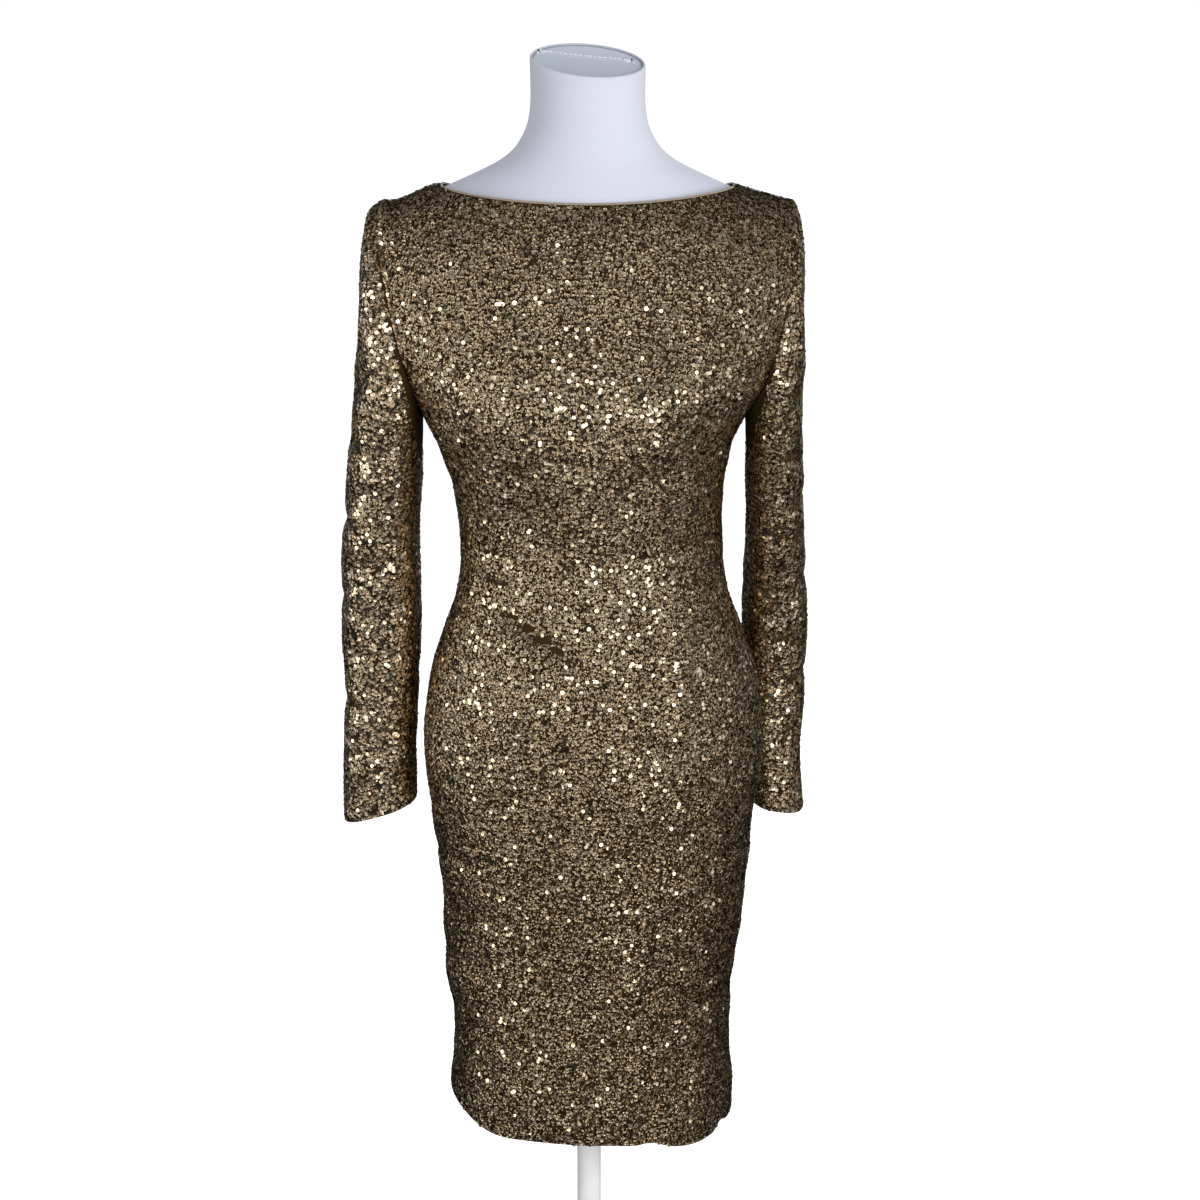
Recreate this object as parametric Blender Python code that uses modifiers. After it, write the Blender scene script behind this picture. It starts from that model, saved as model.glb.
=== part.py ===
"""Long-sleeved sheath dress, worn by a limbless dress form that stands on a round foot.

Metres, +Z up. The front of the dress faces -Y, and left and right are as seen from the front.
The origin is the centre of the foot's underside.
"""

import math

import bmesh
import bpy
import numpy as np
from mathutils import Vector

SHOULDER_LINE = 1.27   # height above the floor of the points where the neckline meets the shoulder seams
CLOTH = 0.002          # thickness of the sequinned cloth
SEAM_GAP = 0.0003      # smallest room between two pieces of cloth, or between the form's own pieces
WALL_LEAN = 0.33       # the walls of two panels lean together by up to this share of their thickness

# Heights in the tables below are measured from the shoulder line, so they are negative under it.
UNDERARM = -0.225      # where side seam, sleeve seam and armhole meet
SHOULDER_TIP = -0.0155  # where the shoulder seam meets the armhole
HEM = -0.9475          # the hem under the centre line
HEM_TILT = 0.0115      # the hem's right end is this much lower, and its left end this much higher
HEM_SIDE_RISE = 0.006  # the hem is this much higher at the side seams
HEM_DIP = 0.006        # and it dips this much half way to them
NECK_END = 0.142       # half the width of the neckline, at the shoulder seams
TIP_REACH = 0.197      # half the distance between the shoulder tips
FRONT_NECK_DROP = 0.0105
BACK_NECK_DROP = 0.022
ARMHOLE_BITE = math.radians(29.5)  # how far the armhole cuts into a panel, as an angle round the body

BODY_COLUMNS = [(name, float) for name in ("height", "half_width", "front", "back", "squareness", "sway")]
BODY = np.array([
    (-0.970, 0.1462, 0.126, 0.114, 2.35, 0.003),
    (-0.930, 0.1468, 0.125, 0.113, 2.35, 0.003),
    (-0.865, 0.1426, 0.121, 0.112, 2.30, 0.003),
    (-0.800, 0.1488, 0.117, 0.112, 2.20, 0.001),
    (-0.720, 0.1552, 0.114, 0.115, 2.25, 0.005),
    (-0.640, 0.1625, 0.112, 0.121, 2.30, 0.004),
    (-0.560, 0.1712, 0.113, 0.128, 2.30, 0.005),
    (-0.500, 0.1665, 0.111, 0.124, 2.25, 0.005),
    (-0.450, 0.1530, 0.106, 0.112, 2.20, 0.005),
    (-0.400, 0.1352, 0.099, 0.097, 2.15, 0.004),
    (-0.350, 0.1303, 0.096, 0.089, 2.15, 0.003),
    (-0.310, 0.1318, 0.102, 0.092, 2.20, 0.001),
    (-0.270, 0.1390, 0.111, 0.099, 2.25, -0.002),
    (-0.225, 0.1560, 0.118, 0.106, 2.35, -0.004),
    (-0.180, 0.1835, 0.119, 0.109, 2.40, 0.0),
    (-0.150, 0.2000, 0.116, 0.110, 2.40, 0.0),
    (-0.120, 0.2095, 0.112, 0.110, 2.40, 0.0),
    (-0.080, 0.2150, 0.109, 0.111, 2.40, 0.0),
    (-0.040, 0.2150, 0.106, 0.113, 2.40, 0.0),
    (0.010, 0.2150, 0.100, 0.114, 2.40, 0.0),
], BODY_COLUMNS)

ARCH_POWER = 2.5       # roundness of the fore-and-aft arch over the shoulders
NECK_RIDGE = 0.050     # how high that arch would reach at the centre line
BUST = {"aside": 0.080, "height": -0.212, "spread": 0.058, "lift": 0.011}

# The two sleeves hang differently: the right one swings behind the hip.
SLEEVE_COLUMNS = [(name, float) for name in ("height", "inner", "outer", "back", "half_depth")]
SLEEVES = {
    "left": np.array([
        (-0.660, 0.1765, 0.2520, 0.030, 0.036),
        (-0.600, 0.1770, 0.2520, 0.030, 0.039),
        (-0.520, 0.1740, 0.2480, 0.029, 0.044),
        (-0.440, 0.1690, 0.2490, 0.026, 0.049),
        (-0.350, 0.1690, 0.2455, 0.020, 0.054),
        (-0.290, 0.1650, 0.2395, 0.014, 0.058),
        (-0.230, 0.1610, 0.2325, 0.006, 0.062),
        (-0.150, 0.1520, 0.2243, 0.001, 0.064),
        (-0.110, 0.1500, 0.2215, 0.000, 0.063),
        (-0.054, 0.1500, 0.2205, 0.000, 0.058),
        (-0.030, 0.1500, 0.2190, 0.000, 0.052),
        (-0.0155, 0.1500, 0.2150, 0.000, 0.045),
    ], SLEEVE_COLUMNS),
    "right": np.array([
        (-0.670, 0.1720, 0.2260, 0.082, 0.042),
        (-0.600, 0.1640, 0.2210, 0.082, 0.042),
        (-0.520, 0.1600, 0.2240, 0.081, 0.043),
        (-0.440, 0.1575, 0.2240, 0.070, 0.047),
        (-0.350, 0.1590, 0.2170, 0.045, 0.054),
        (-0.290, 0.1570, 0.2140, 0.028, 0.059),
        (-0.230, 0.1555, 0.2105, 0.012, 0.063),
        (-0.150, 0.1520, 0.2110, 0.002, 0.065),
        (-0.110, 0.1500, 0.2090, 0.000, 0.064),
        (-0.054, 0.1500, 0.2080, 0.000, 0.058),
        (-0.030, 0.1500, 0.2050, 0.000, 0.052),
        (-0.0155, 0.1500, 0.2000, 0.000, 0.045),
    ], SLEEVE_COLUMNS),
}
CUFF = {"left": -0.640, "right": -0.651}      # height of each cuff's middle
CUFF_RISE = {"left": 0.30, "right": 0.15}     # rise for each metre from a cuff's middle towards the body
SLEEVE_FADE = 0.18     # share of the sleeve's length over which the armhole's shape dies out

# The dress form, from the flat underside of the torso to the top of the neck.
FORM_CLEAR = 0.0045    # room from the outside of the cloth to the form, under the arms
FORM_BOTTOM = -0.700
FORM_TOP = -0.215      # above this the form has sections of its own
FORM_COLUMNS = [(name, float) for name in ("height", "half_width", "front", "back", "bow", "pinch")]
FORM_CHEST = np.array([
    (-0.180, 0.1560, 0.113, 0.103, 2.20, 2.20),
    (-0.140, 0.1600, 0.107, 0.102, 2.20, 2.20),
    (-0.100, 0.1660, 0.098, 0.099, 2.20, 2.15),
    (-0.065, 0.1730, 0.089, 0.094, 2.10, 2.05),
    (-0.040, 0.1790, 0.082, 0.089, 2.05, 1.90),
    (-0.026, 0.1800, 0.077, 0.085, 2.00, 1.75),
    (-0.018, 0.1700, 0.074, 0.082, 2.00, 1.55),
    (-0.012, 0.1575, 0.072, 0.079, 2.00, 1.45),
    (-0.005, 0.1440, 0.070, 0.075, 2.00, 1.33),
    (0.003, 0.1268, 0.067, 0.071, 2.00, 1.37),
    (0.013, 0.1045, 0.063, 0.068, 2.00, 1.60),
    (0.023, 0.0850, 0.060, 0.064, 2.00, 1.75),
    (0.033, 0.0722, 0.058, 0.060, 2.00, 1.90),
    (0.043, 0.0648, 0.057, 0.056, 2.00, 2.00),
    (0.055, 0.0590, 0.056, 0.053, 2.00, 2.00),
    (0.075, 0.0552, 0.056, 0.051, 2.00, 2.00),
    (0.098, 0.0548, 0.057, 0.050, 2.00, 2.00),
], FORM_COLUMNS)
NECK_TOP = 0.118       # the middle of the neck's slanting top
NECK_SLANT = math.radians(13.6)   # down to the front
NECK_ROLL = math.radians(4.5)     # down to the right
NECK_HALF_WIDTH = 0.0552
NECK_HALF_DEPTH = 0.0540
NECK_FORWARD = 0.006   # the neck leans this far forward at its top
NECK_LIP = 0.003
CAP_THICKNESS = 0.003

POLE_RADIUS = 0.0125
FOOT_RADIUS = 0.150
FOOT_HEIGHT = 0.022
HUB_RADIUS = 0.024
HUB_HEIGHT = 0.055

SHOULDER_COLUMNS = 4   # columns of a panel that end at each shoulder seam
NECKLINE_COLUMNS = 10  # columns that end at the neckline
SIDE_ROWS = 19         # rows of a panel from the hem to the underarm
SLEEVE_POINTS = 20     # even: the panels' rows along the armhole meet the sleeve's points one by one
SLEEVE_ROWS = 15
FORM_ROWS = 14         # sections of the form under its chest
FORM_POINTS = 32
FOOT_STEPS = 40
POLE_STEPS = 24


def clear_scene():
    """Removes whatever the scene holds."""
    for obj in list(bpy.data.objects):
        bpy.data.objects.remove(obj, do_unlink=True)


def read(table, height, column):
    """A smooth cubic curve through one column of a table, each point's slope taken across its neighbours."""
    order = np.argsort(table["height"])
    x, y = table["height"][order], table[column][order]
    slope = np.gradient(y, x)
    height = np.clip(height, x[0], x[-1])
    i = np.clip(np.searchsorted(x, height) - 1, 0, len(x) - 2)
    step = x[i + 1] - x[i]
    t = (height - x[i]) / step
    return ((1 + 2 * t) * (1 - t) ** 2 * y[i] + t * (1 - t) ** 2 * step * slope[i]
            + t * t * (3 - 2 * t) * y[i + 1] + t * t * (t - 1) * step * slope[i + 1])


def shoulder_ridge(x):
    """Height of the shoulder line at a distance from the centre: a slope, and a dome inside the neckline."""
    reach = np.abs(x)
    slope = SHOULDER_TIP * np.clip((reach - NECK_END) / (TIP_REACH - NECK_END), 0, 1.2) ** 0.9
    dome = NECK_RIDGE * np.clip(1 - (reach / NECK_END) ** 2, 0, 1)
    return slope + dome


def cloth_depth(x, height, face):
    """Distance of the cloth's outside from the centre plane: a superellipse times the shoulder arch."""
    wide = read(BODY, height, "half_width")
    power = read(BODY, height, "squareness")
    across = np.clip(1 - np.abs(x / wide) ** power, 0, 1) ** (1 / power)
    rise = np.clip((height - UNDERARM) / (shoulder_ridge(x) - UNDERARM), 0, 1)
    arch = (1 - rise ** ARCH_POWER) ** (1 / ARCH_POWER)
    depth = read(BODY, height, face) * across * arch
    if face == "front":
        aside = (np.abs(x) - BUST["aside"]) / BUST["spread"]
        above = (height - BUST["height"]) / BUST["spread"]
        depth = depth + BUST["lift"] * np.exp(-aside ** 2 - above ** 2) * across
    return depth


def armhole_reach(share):
    """Half width and height of the armhole's edge: share 0 at the underarm, 1 at the shoulder tip."""
    height = UNDERARM + (SHOULDER_TIP - UNDERARM) * share
    power = read(BODY, height, "squareness")
    bite = ARMHOLE_BITE * np.sqrt(np.sin(np.pi * np.clip(share, 0, 1)))
    wide = np.where(share > 0.97, TIP_REACH, read(BODY, height, "half_width"))
    reach = wide * np.cos(bite) ** (2 / power)
    return np.where(share > 0.5, np.minimum(reach, TIP_REACH + 0.002), reach), height


def panel_turns():
    """Angles of a panel's columns round the body, left to right, one at each end of the neckline."""
    neck_end = math.acos((NECK_END / TIP_REACH) ** (read(BODY, UNDERARM, "squareness") / 2))
    shoulder = np.linspace(0, neck_end, SHOULDER_COLUMNS + 1)
    neckline = np.linspace(neck_end, np.pi - neck_end, NECKLINE_COLUMNS + 1)[1:-1]
    return np.concatenate([shoulder, neckline, np.pi - shoulder[::-1]])[::-1]


def hem_line(ratio):
    """Rise of the hem at a share of the half width: a tilt, raised side seams, and a dip between."""
    tilt = -HEM_TILT * np.sign(ratio) * np.abs(ratio) ** 1.6
    return tilt + HEM_SIDE_RISE * ratio ** 4 - HEM_DIP * np.sin(np.pi * ratio ** 2) ** 2


def panel_points(face):
    """Grid of a panel's outside. Rows run from the hem to the neckline, columns from left to right."""
    turn = panel_turns()
    seam = SEAM_GAP / 2 + CLOTH * WALL_LEAN
    toward = -1 if face == "front" else 1
    rows = []
    for share in np.linspace(0, 1, SIDE_ROWS + 1)[:-1]:
        middle = HEM + (UNDERARM - HEM) * share
        ratio = np.sign(np.cos(turn)) * np.abs(np.cos(turn)) ** (2 / read(BODY, middle, "squareness"))
        height = middle + hem_line(ratio) * (1 - share) ** 4
        x = ratio * read(BODY, height, "half_width")
        y = toward * (cloth_depth(x, height, face) + seam)
        rows.append(np.stack([x + read(BODY, height, "sway"), y, height], axis=1))
    ratio = np.sign(np.cos(turn)) * np.abs(np.cos(turn)) ** (2 / read(BODY, UNDERARM, "squareness"))
    drop = FRONT_NECK_DROP if face == "front" else BACK_NECK_DROP
    top_x = ratio * TIP_REACH
    inside = np.clip(1 - (top_x / NECK_END) ** 2, 0, 1)
    top = np.where(np.abs(top_x) < NECK_END, -drop * inside ** 0.8, shoulder_ridge(top_x))
    for share in (1 - np.cos(np.linspace(0, np.pi, SLEEVE_POINTS // 2 + 1))) / 2:
        reach, edge = armhole_reach(share)
        height = UNDERARM + (top - UNDERARM) * share
        x = ratio * reach
        height[[0, -1]] = edge
        y = toward * (cloth_depth(x, height, face) + seam)
        rows.append(np.stack([x + read(BODY, height, "sway"), y, height], axis=1))
    return np.array(rows)


def sleeve_points(side):
    """Grid of a sleeve's outside. Rows run from armhole to cuff, columns from the top line to the front."""
    outward = -1 if side == "left" else 1
    turn = np.linspace(0, 2 * np.pi, SLEEVE_POINTS, endpoint=False)
    share = (1 + np.cos(turn)) / 2
    reach, start = armhole_reach(share)
    front, back = (cloth_depth(reach, start, face) for face in ("front", "back"))
    face_depth = np.where(turn < np.pi, -front, back) * (np.abs(np.sin(turn)) > 1e-6)
    sleeve = SLEEVES[side]
    sway = outward * read(BODY, start, "sway")
    room = 4 * SEAM_GAP + CLOTH * share ** 8
    armhole = np.stack([reach + sway + room, face_depth], axis=1)

    def section(height):
        inner = read(sleeve, height, "inner")
        outer = read(sleeve, height, "outer")
        x = (inner + outer) / 2 + (outer - inner) / 2 * np.cos(turn)
        y = read(sleeve, height, "back") - read(sleeve, height, "half_depth") * np.sin(turn)
        return np.stack([x, y], axis=1)

    middle = float(read(sleeve, CUFF[side], "inner") + read(sleeve, CUFF[side], "outer")) / 2
    end = CUFF[side] - CUFF_RISE[side] * (section(CUFF[side])[:, 0] - middle)
    rows = []
    for along in np.linspace(0, 1, SLEEVE_ROWS + 1) ** 1.7:
        height = start + (end - start) * along
        fade = max(0, 1 - along / SLEEVE_FADE) ** 2
        flat = section(height) + fade * (armhole - section(start))
        rows.append(np.stack([outward * flat[:, 0], flat[:, 1], height], axis=1))
    return np.array(rows)


def form_points():
    """Grid of the form's outside, from the underside of the torso to the rim of the neck."""
    turn = np.linspace(0, 2 * np.pi, FORM_POINTS, endpoint=False)
    c, s = np.cos(turn), np.sin(turn)
    rows = []
    for height in np.linspace(FORM_BOTTOM, FORM_TOP, FORM_ROWS):
        wide = read(BODY, height, "half_width")
        x = wide * np.sign(c) * np.abs(c) ** (2 / read(BODY, height, "squareness"))
        front, back = (cloth_depth(x, height, face) for face in ("front", "back"))
        y = np.sign(s) * np.where(s < 0, front, back) * (np.abs(s) > 1e-6)
        x = x * (1 - FORM_CLEAR / wide) + read(BODY, height, "sway")
        y = y * (1 - FORM_CLEAR / read(BODY, height, "back"))
        rows.append(np.stack([x, y, np.full_like(x, height)], axis=1))
    for section in FORM_CHEST:
        x = section["half_width"] * np.sign(c) * np.abs(c) ** (2 / section["bow"])
        deep = np.where(s < 0, section["front"], section["back"])
        y = deep * np.sign(s) * np.abs(s) ** (2 / section["pinch"])
        rows.append(np.stack([x, y, np.full_like(x, section["height"])], axis=1))
    rows += [neck_ring(c, s, 0, 0), neck_ring(c, s, NECK_LIP, 0), neck_ring(c, s, NECK_LIP, -CAP_THICKNESS)]
    return np.array(rows)


def neck_ring(c, s, inset, lower):
    """A ring on the neck's slanting top, pulled in and lowered by the given lengths."""
    x = (NECK_HALF_WIDTH - inset) * c
    along = (NECK_HALF_DEPTH - inset) * s
    y = along * math.cos(NECK_SLANT) - NECK_FORWARD
    height = NECK_TOP + along * math.sin(NECK_SLANT) - x * math.tan(NECK_ROLL) + lower
    return np.stack([x, y, height], axis=1)


def material(name, colour, roughness, metallic=0.0):
    """A plain Principled material."""
    made = bpy.data.materials.new(name)
    made.use_nodes = True
    shader = made.node_tree.nodes["Principled BSDF"]
    shader.inputs["Base Color"].default_value = (*colour, 1)
    shader.inputs["Roughness"].default_value = roughness
    shader.inputs["Metallic"].default_value = metallic
    return made


def add_object(name, mesh, finish, collection):
    """Puts a mesh in the object's collection under its own name."""
    mesh.materials.append(finish)
    obj = bpy.data.objects.new(name, mesh)
    collection.objects.link(obj)
    return obj


def grid_mesh(name, points, ring=False, ends=False):
    """A mesh over a grid of points, joined round when ring is set, and closed when ends is set."""
    rows, columns = points.shape[:2]
    index = np.arange(rows * columns).reshape(rows, columns)
    if ring:
        index = np.concatenate([index, index[:, :1]], axis=1)
    low, high = index[:-1], index[1:]
    faces = np.stack([low[:, :-1], low[:, 1:], high[:, 1:], high[:, :-1]], axis=-1).reshape(-1, 4).tolist()
    if ends:
        faces += [index[0, :-1][::-1].tolist(), index[-1, :-1].tolist()]
    mesh = bpy.data.meshes.new(name)
    lifted = points.reshape(-1, 3) + [0, 0, SHOULDER_LINE]
    mesh.from_pydata(lifted.tolist(), [], faces)
    return mesh


def face_away(mesh, middle):
    """Turns the faces of an open sheet so that they look away from the middle of the body inside it."""
    mesh.update()
    looks = sum(face.normal.dot(face.center - middle) for face in mesh.polygons)
    if looks < 0:
        mesh.flip_normals()


def add_cloth(name, points, finish, collection, ring=False):
    """A sheet of cloth: the grid is its outside, and Solidify gives it its wall inwards."""
    mesh = grid_mesh(name, points, ring)
    middle = points.reshape(-1, 3).mean(axis=0) if ring else (0, 0, points[..., 2].mean())
    face_away(mesh, Vector(middle) + Vector((0, 0, SHOULDER_LINE)))
    obj = add_object(name, mesh, finish, collection)
    wall = obj.modifiers.new("Cloth wall", "SOLIDIFY")
    wall.thickness = CLOTH
    wall.offset = -1
    wall.use_even_offset = True
    mesh.shade_smooth()
    return obj


def outward_normals(mesh):
    """Recalculates a closed mesh's normals to the outside."""
    work = bmesh.new()
    work.from_mesh(mesh)
    bmesh.ops.recalc_face_normals(work, faces=work.faces)
    work.to_mesh(mesh)
    work.free()


def add_turned(name, profile, finish, collection, steps):
    """A turned piece: the profile runs down its outer side, from the axis at the top to the axis below."""
    mesh = bpy.data.meshes.new(name)
    edges = [(i, i + 1) for i in range(len(profile) - 1)]
    mesh.from_pydata([(radius, 0, height) for radius, height in profile], edges, [])
    obj = add_object(name, mesh, finish, collection)
    screw = obj.modifiers.new("Turn", "SCREW")
    screw.steps = screw.render_steps = steps
    screw.use_merge_vertices = True
    screw.merge_threshold = 0.00005
    return obj


def build_dress(collection):
    """The four pieces of cloth."""
    cloth = material("Sequinned cloth", (0.17, 0.125, 0.075), 0.35, 0.6)
    for face in ("front", "back"):
        add_cloth("dress_" + face, panel_points(face), cloth, collection)
    for side in ("left", "right"):
        add_cloth("sleeve_" + side, sleeve_points(side), cloth, collection, ring=True)


def build_form(collection):
    """The torso and neck, the neck's cap, the pole and the foot."""
    jersey = material("White jersey", (0.72, 0.73, 0.82), 0.75)
    mesh = grid_mesh("form_body", form_points(), ring=True, ends=True)
    outward_normals(mesh)
    add_object("form_body", mesh, jersey, collection)

    cap_cloth = material("Grey-white cap", (0.40, 0.42, 0.51), 0.8)
    turn = np.linspace(0, 2 * np.pi, FORM_POINTS, endpoint=False)
    inset = NECK_LIP + SEAM_GAP
    levels = (SEAM_GAP - CAP_THICKNESS, -SEAM_GAP)
    rings = [neck_ring(np.cos(turn), np.sin(turn), inset, lower) for lower in levels]
    mesh = grid_mesh("form_neck_cap", np.array(rings), ring=True, ends=True)
    outward_normals(mesh)
    add_object("form_neck_cap", mesh, cap_cloth, collection)

    paint = material("White painted steel", (0.80, 0.80, 0.80), 0.35)
    foot = [(0, HUB_HEIGHT), (HUB_RADIUS - 0.003, HUB_HEIGHT), (HUB_RADIUS, HUB_HEIGHT - 0.003),
            (HUB_RADIUS, FOOT_HEIGHT + 0.006), (HUB_RADIUS + 0.006, FOOT_HEIGHT),
            (FOOT_RADIUS - 0.030, FOOT_HEIGHT - 0.006), (FOOT_RADIUS - 0.004, FOOT_HEIGHT - 0.014),
            (FOOT_RADIUS, 0.004), (FOOT_RADIUS - 0.002, 0), (0, 0)]
    add_turned("form_base", foot, paint, collection, FOOT_STEPS)

    low = HUB_HEIGHT + SEAM_GAP
    high = SHOULDER_LINE + FORM_BOTTOM - SEAM_GAP
    rod = [(0, high), (POLE_RADIUS, high), (POLE_RADIUS, low), (0, low)]
    add_turned("form_pole", rod, paint, collection, POLE_STEPS)


def main():
    clear_scene()
    collection = bpy.data.collections.new("Sequin dress on a form")
    bpy.context.scene.collection.children.link(collection)
    build_dress(collection)
    build_form(collection)


main()
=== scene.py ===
"""A gold sequin cocktail dress on a limbless dress form: the looks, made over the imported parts."""

import bpy
import numpy as np
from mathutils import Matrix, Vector


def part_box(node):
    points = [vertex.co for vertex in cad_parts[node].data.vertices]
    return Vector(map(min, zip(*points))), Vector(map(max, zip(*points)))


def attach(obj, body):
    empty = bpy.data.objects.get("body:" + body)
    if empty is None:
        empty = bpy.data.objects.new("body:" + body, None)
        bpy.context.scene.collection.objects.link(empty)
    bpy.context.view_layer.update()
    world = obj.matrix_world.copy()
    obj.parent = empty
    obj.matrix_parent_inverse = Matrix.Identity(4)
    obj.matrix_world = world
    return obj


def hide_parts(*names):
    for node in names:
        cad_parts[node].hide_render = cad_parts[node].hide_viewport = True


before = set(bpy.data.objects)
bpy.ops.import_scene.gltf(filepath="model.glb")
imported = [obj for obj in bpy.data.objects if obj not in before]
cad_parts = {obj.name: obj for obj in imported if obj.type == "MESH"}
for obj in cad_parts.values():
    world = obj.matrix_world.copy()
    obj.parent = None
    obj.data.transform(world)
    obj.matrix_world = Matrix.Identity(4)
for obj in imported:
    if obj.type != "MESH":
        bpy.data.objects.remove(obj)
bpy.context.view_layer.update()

# ------------------------------------------------------------------------------------------
# The studio: a wide pale floor with nothing else on it, a white surround, a key light from the
# right, soft boxes round the front that the sequins mirror, and one behind. Glossy surfaces
# mirror a dimmer, patchy room with two lit bands, as they would in a real studio.
FORM_MIDDLE = Vector((0, 0, 0.86))     # what the soft boxes are aimed at
FLOOR_SIDE = 60.0
FLOOR_GAP = 0.0005                     # how far it lies under the foot
FLOOR_GLOW = 0.62                      # lifts the far floor to the white of the surround
SURROUND_WHITE = 1.0
SURROUND_FILL = 0.545                  # light that the room gives to matt surfaces
ROOM_LIGHT = (0.03, 0.16)              # what glossy surfaces mirror of the room, low down and high up
ROOM_CLIMB = (-0.6, 0.0)               # where one gives way to the other: the sine of the angle above level
ROOM_BANDS = (                         # lit bands: middle and reach, as the same sine, and light
    (-0.02, 0.27, 0.53),
    (-0.68, 0.11, 0.60),
)
ROOM_PATCHES = (0.20, 1.80)            # how unevenly the room is lit
PATCH_SCALE = 4.5
PATCH_EDGE = (0.40, 0.60)              # values of the noise between which a patch fades
ROOM_BEHIND = 0.35                     # share of that light left behind the dress
BEHIND_EDGE = (-0.35, 0.45)            # where it falls to that, as the sine of the angle towards the back
LAMP_COLOUR = (1.0, 0.98, 0.95)
CAMERA_PLACE = (0.0116, -2.6, 1.54)
CAMERA_TILT = 14.72                    # degrees below level
CAMERA_LENS = 80.64
SOFT_BOXES = (                         # name, place, side lengths, watts, whether glossy surfaces mirror it
    ("Key light", (1.85, -2.35, 1.60), (1.20, 1.20), 60.0, False),
    ("Soft box high left", (-0.90, -2.70, 1.30), (0.95, 0.85), 3.8, True),
    ("Soft box side left", (-2.35, -0.70, 1.45), (0.85, 1.00), 4.0, True),
    ("Soft box far left", (-2.60, -1.10, 0.40), (1.00, 1.10), 4.8, True),
    ("Soft box right", (1.40, -2.30, 0.66), (0.60, 0.80), 2.4, True),
    ("Soft box centre", (0.40, -3.00, 0.84), (0.60, 0.60), 1.8, True),
    ("Soft box level", (0.15, -3.00, 1.04), (1.50, 0.40), 3.0, True),
    ("Low soft box left", (-1.10, -1.50, 0.06), (0.40, 0.40), 0.8, True),
    ("Low soft box right", (0.55, -1.30, 0.30), (0.36, 0.30), 0.55, True),
    ("Soft box behind", (0.60, 2.60, 2.10), (0.60, 0.60), 25.0, False),
)


class Tone:
    """One output of a node tree. Sums and products with other tones or numbers add Math nodes."""

    def __init__(self, tree, socket=None):
        self.tree, self.socket = tree, socket

    def node(self, kind, settings=None, sockets=None, output=0):
        """Adds a node: its settings come first, then numbers, colours or tones for its sockets."""
        made = self.tree.nodes.new(kind)
        for name, setting in (settings or {}).items():
            if name == "stops":
                for stop, (place, colour) in zip(made.color_ramp.elements, setting):
                    stop.position, stop.color = place, colour
            else:
                setattr(made, name, setting)
        for name, value in (sockets or {}).items():
            if isinstance(value, Tone):
                self.tree.links.new(value.socket, made.inputs[name])
            else:
                made.inputs[name].default_value = value
        return Tone(self.tree, made.outputs[output])

    def maths(self, operation, first, second=0.0):
        """One Math node."""
        return self.node("ShaderNodeMath", {"operation": operation}, {0: first, 1: second})

    def blend(self, low, high):
        """A colour that goes from low to high as this tone goes from 0 to 1."""
        return self.node("ShaderNodeMix", {"data_type": "RGBA"}, {0: self, 6: low, 7: high}, 2)

    def climb(self, start, end, low, high):
        """A smooth climb from low, where this tone is start, to high, where it is end."""
        return self.node("ShaderNodeMapRange", {"interpolation_type": "SMOOTHSTEP"}, {
            "Value": self, "From Min": start, "From Max": end, "To Min": low, "To Max": high})

    def __add__(self, other):
        return self.maths("ADD", self, other)

    def __sub__(self, other):
        return self.maths("SUBTRACT", self, other)

    def __rsub__(self, other):
        return self.maths("SUBTRACT", other, self)

    def __mul__(self, other):
        return self.maths("MULTIPLY", self, other)

    __radd__ = __add__
    __rmul__ = __mul__


def plain_finish(name, sockets):
    """A material with plain numbers and colours on its Principled shader."""
    finish = bpy.data.materials.new(name)
    finish.use_nodes = True
    for socket, value in sockets.items():
        finish.node_tree.nodes["Principled BSDF"].inputs[socket].default_value = value
    return finish


def new_finish(name, sockets):
    """A plain finish, its shader, and a tone of its Object coordinates to build a pattern with."""
    finish = plain_finish(name, sockets)
    place = Tone(finish.node_tree).node("ShaderNodeTexCoord", output=3)
    return finish, finish.node_tree.nodes["Principled BSDF"], place


def feed(shader, socket, tone):
    """Lets a tone drive one socket of a shader."""
    tone.tree.links.new(tone.socket, shader.inputs[socket])


def emboss(shader, tone, strength, distance):
    """Lets a tone raise the surface of a shader, as a bump."""
    feed(shader, "Normal", tone.node("ShaderNodeBump", sockets={
        "Strength": strength, "Distance": distance, "Height": tone}))


def mesh_of(points, faces):
    """A mesh from an array of points and one of faces, whose last axis holds the corners of a face."""
    corners = faces.shape[-1]
    mesh = bpy.data.meshes.new("piece")
    mesh.vertices.add(points.size // 3)
    mesh.vertices.foreach_set("co", points.astype(np.float32).ravel())
    mesh.loops.add(faces.size)
    mesh.loops.foreach_set("vertex_index", faces.astype(np.int32).ravel())
    mesh.polygons.add(faces.size // corners)
    mesh.polygons.foreach_set("loop_start", np.arange(0, faces.size, corners, dtype=np.int32))
    mesh.update(calc_edges=True)
    return mesh


def grid_mesh(points, around=False, strip=0):
    """A mesh over a grid of points (rows, columns, 3), a face to a cell, joined round its columns if around.
    With a strip, each run of that many rows is a surface of its own."""
    rows, columns = points.shape[:2]
    place = np.arange(rows * columns).reshape(rows, columns)
    if around:
        place = np.concatenate([place, place[:, :1]], axis=1)
    faces = np.stack([place[:-1, :-1], place[:-1, 1:], place[1:, 1:], place[1:, :-1]], axis=-1)
    if strip:
        faces = faces[np.arange(1, rows) % strip > 0]
    mesh = mesh_of(points, faces)
    mesh.validate()
    mesh.shade_smooth()
    return mesh


def put(name, mesh, *finishes):
    """Puts a finished mesh into the scene as a piece of this name."""
    mesh.name = name
    for finish in finishes:
        mesh.materials.append(finish)
    obj = bpy.data.objects.new(name, mesh)
    bpy.context.scene.collection.objects.link(obj)
    return obj


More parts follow.
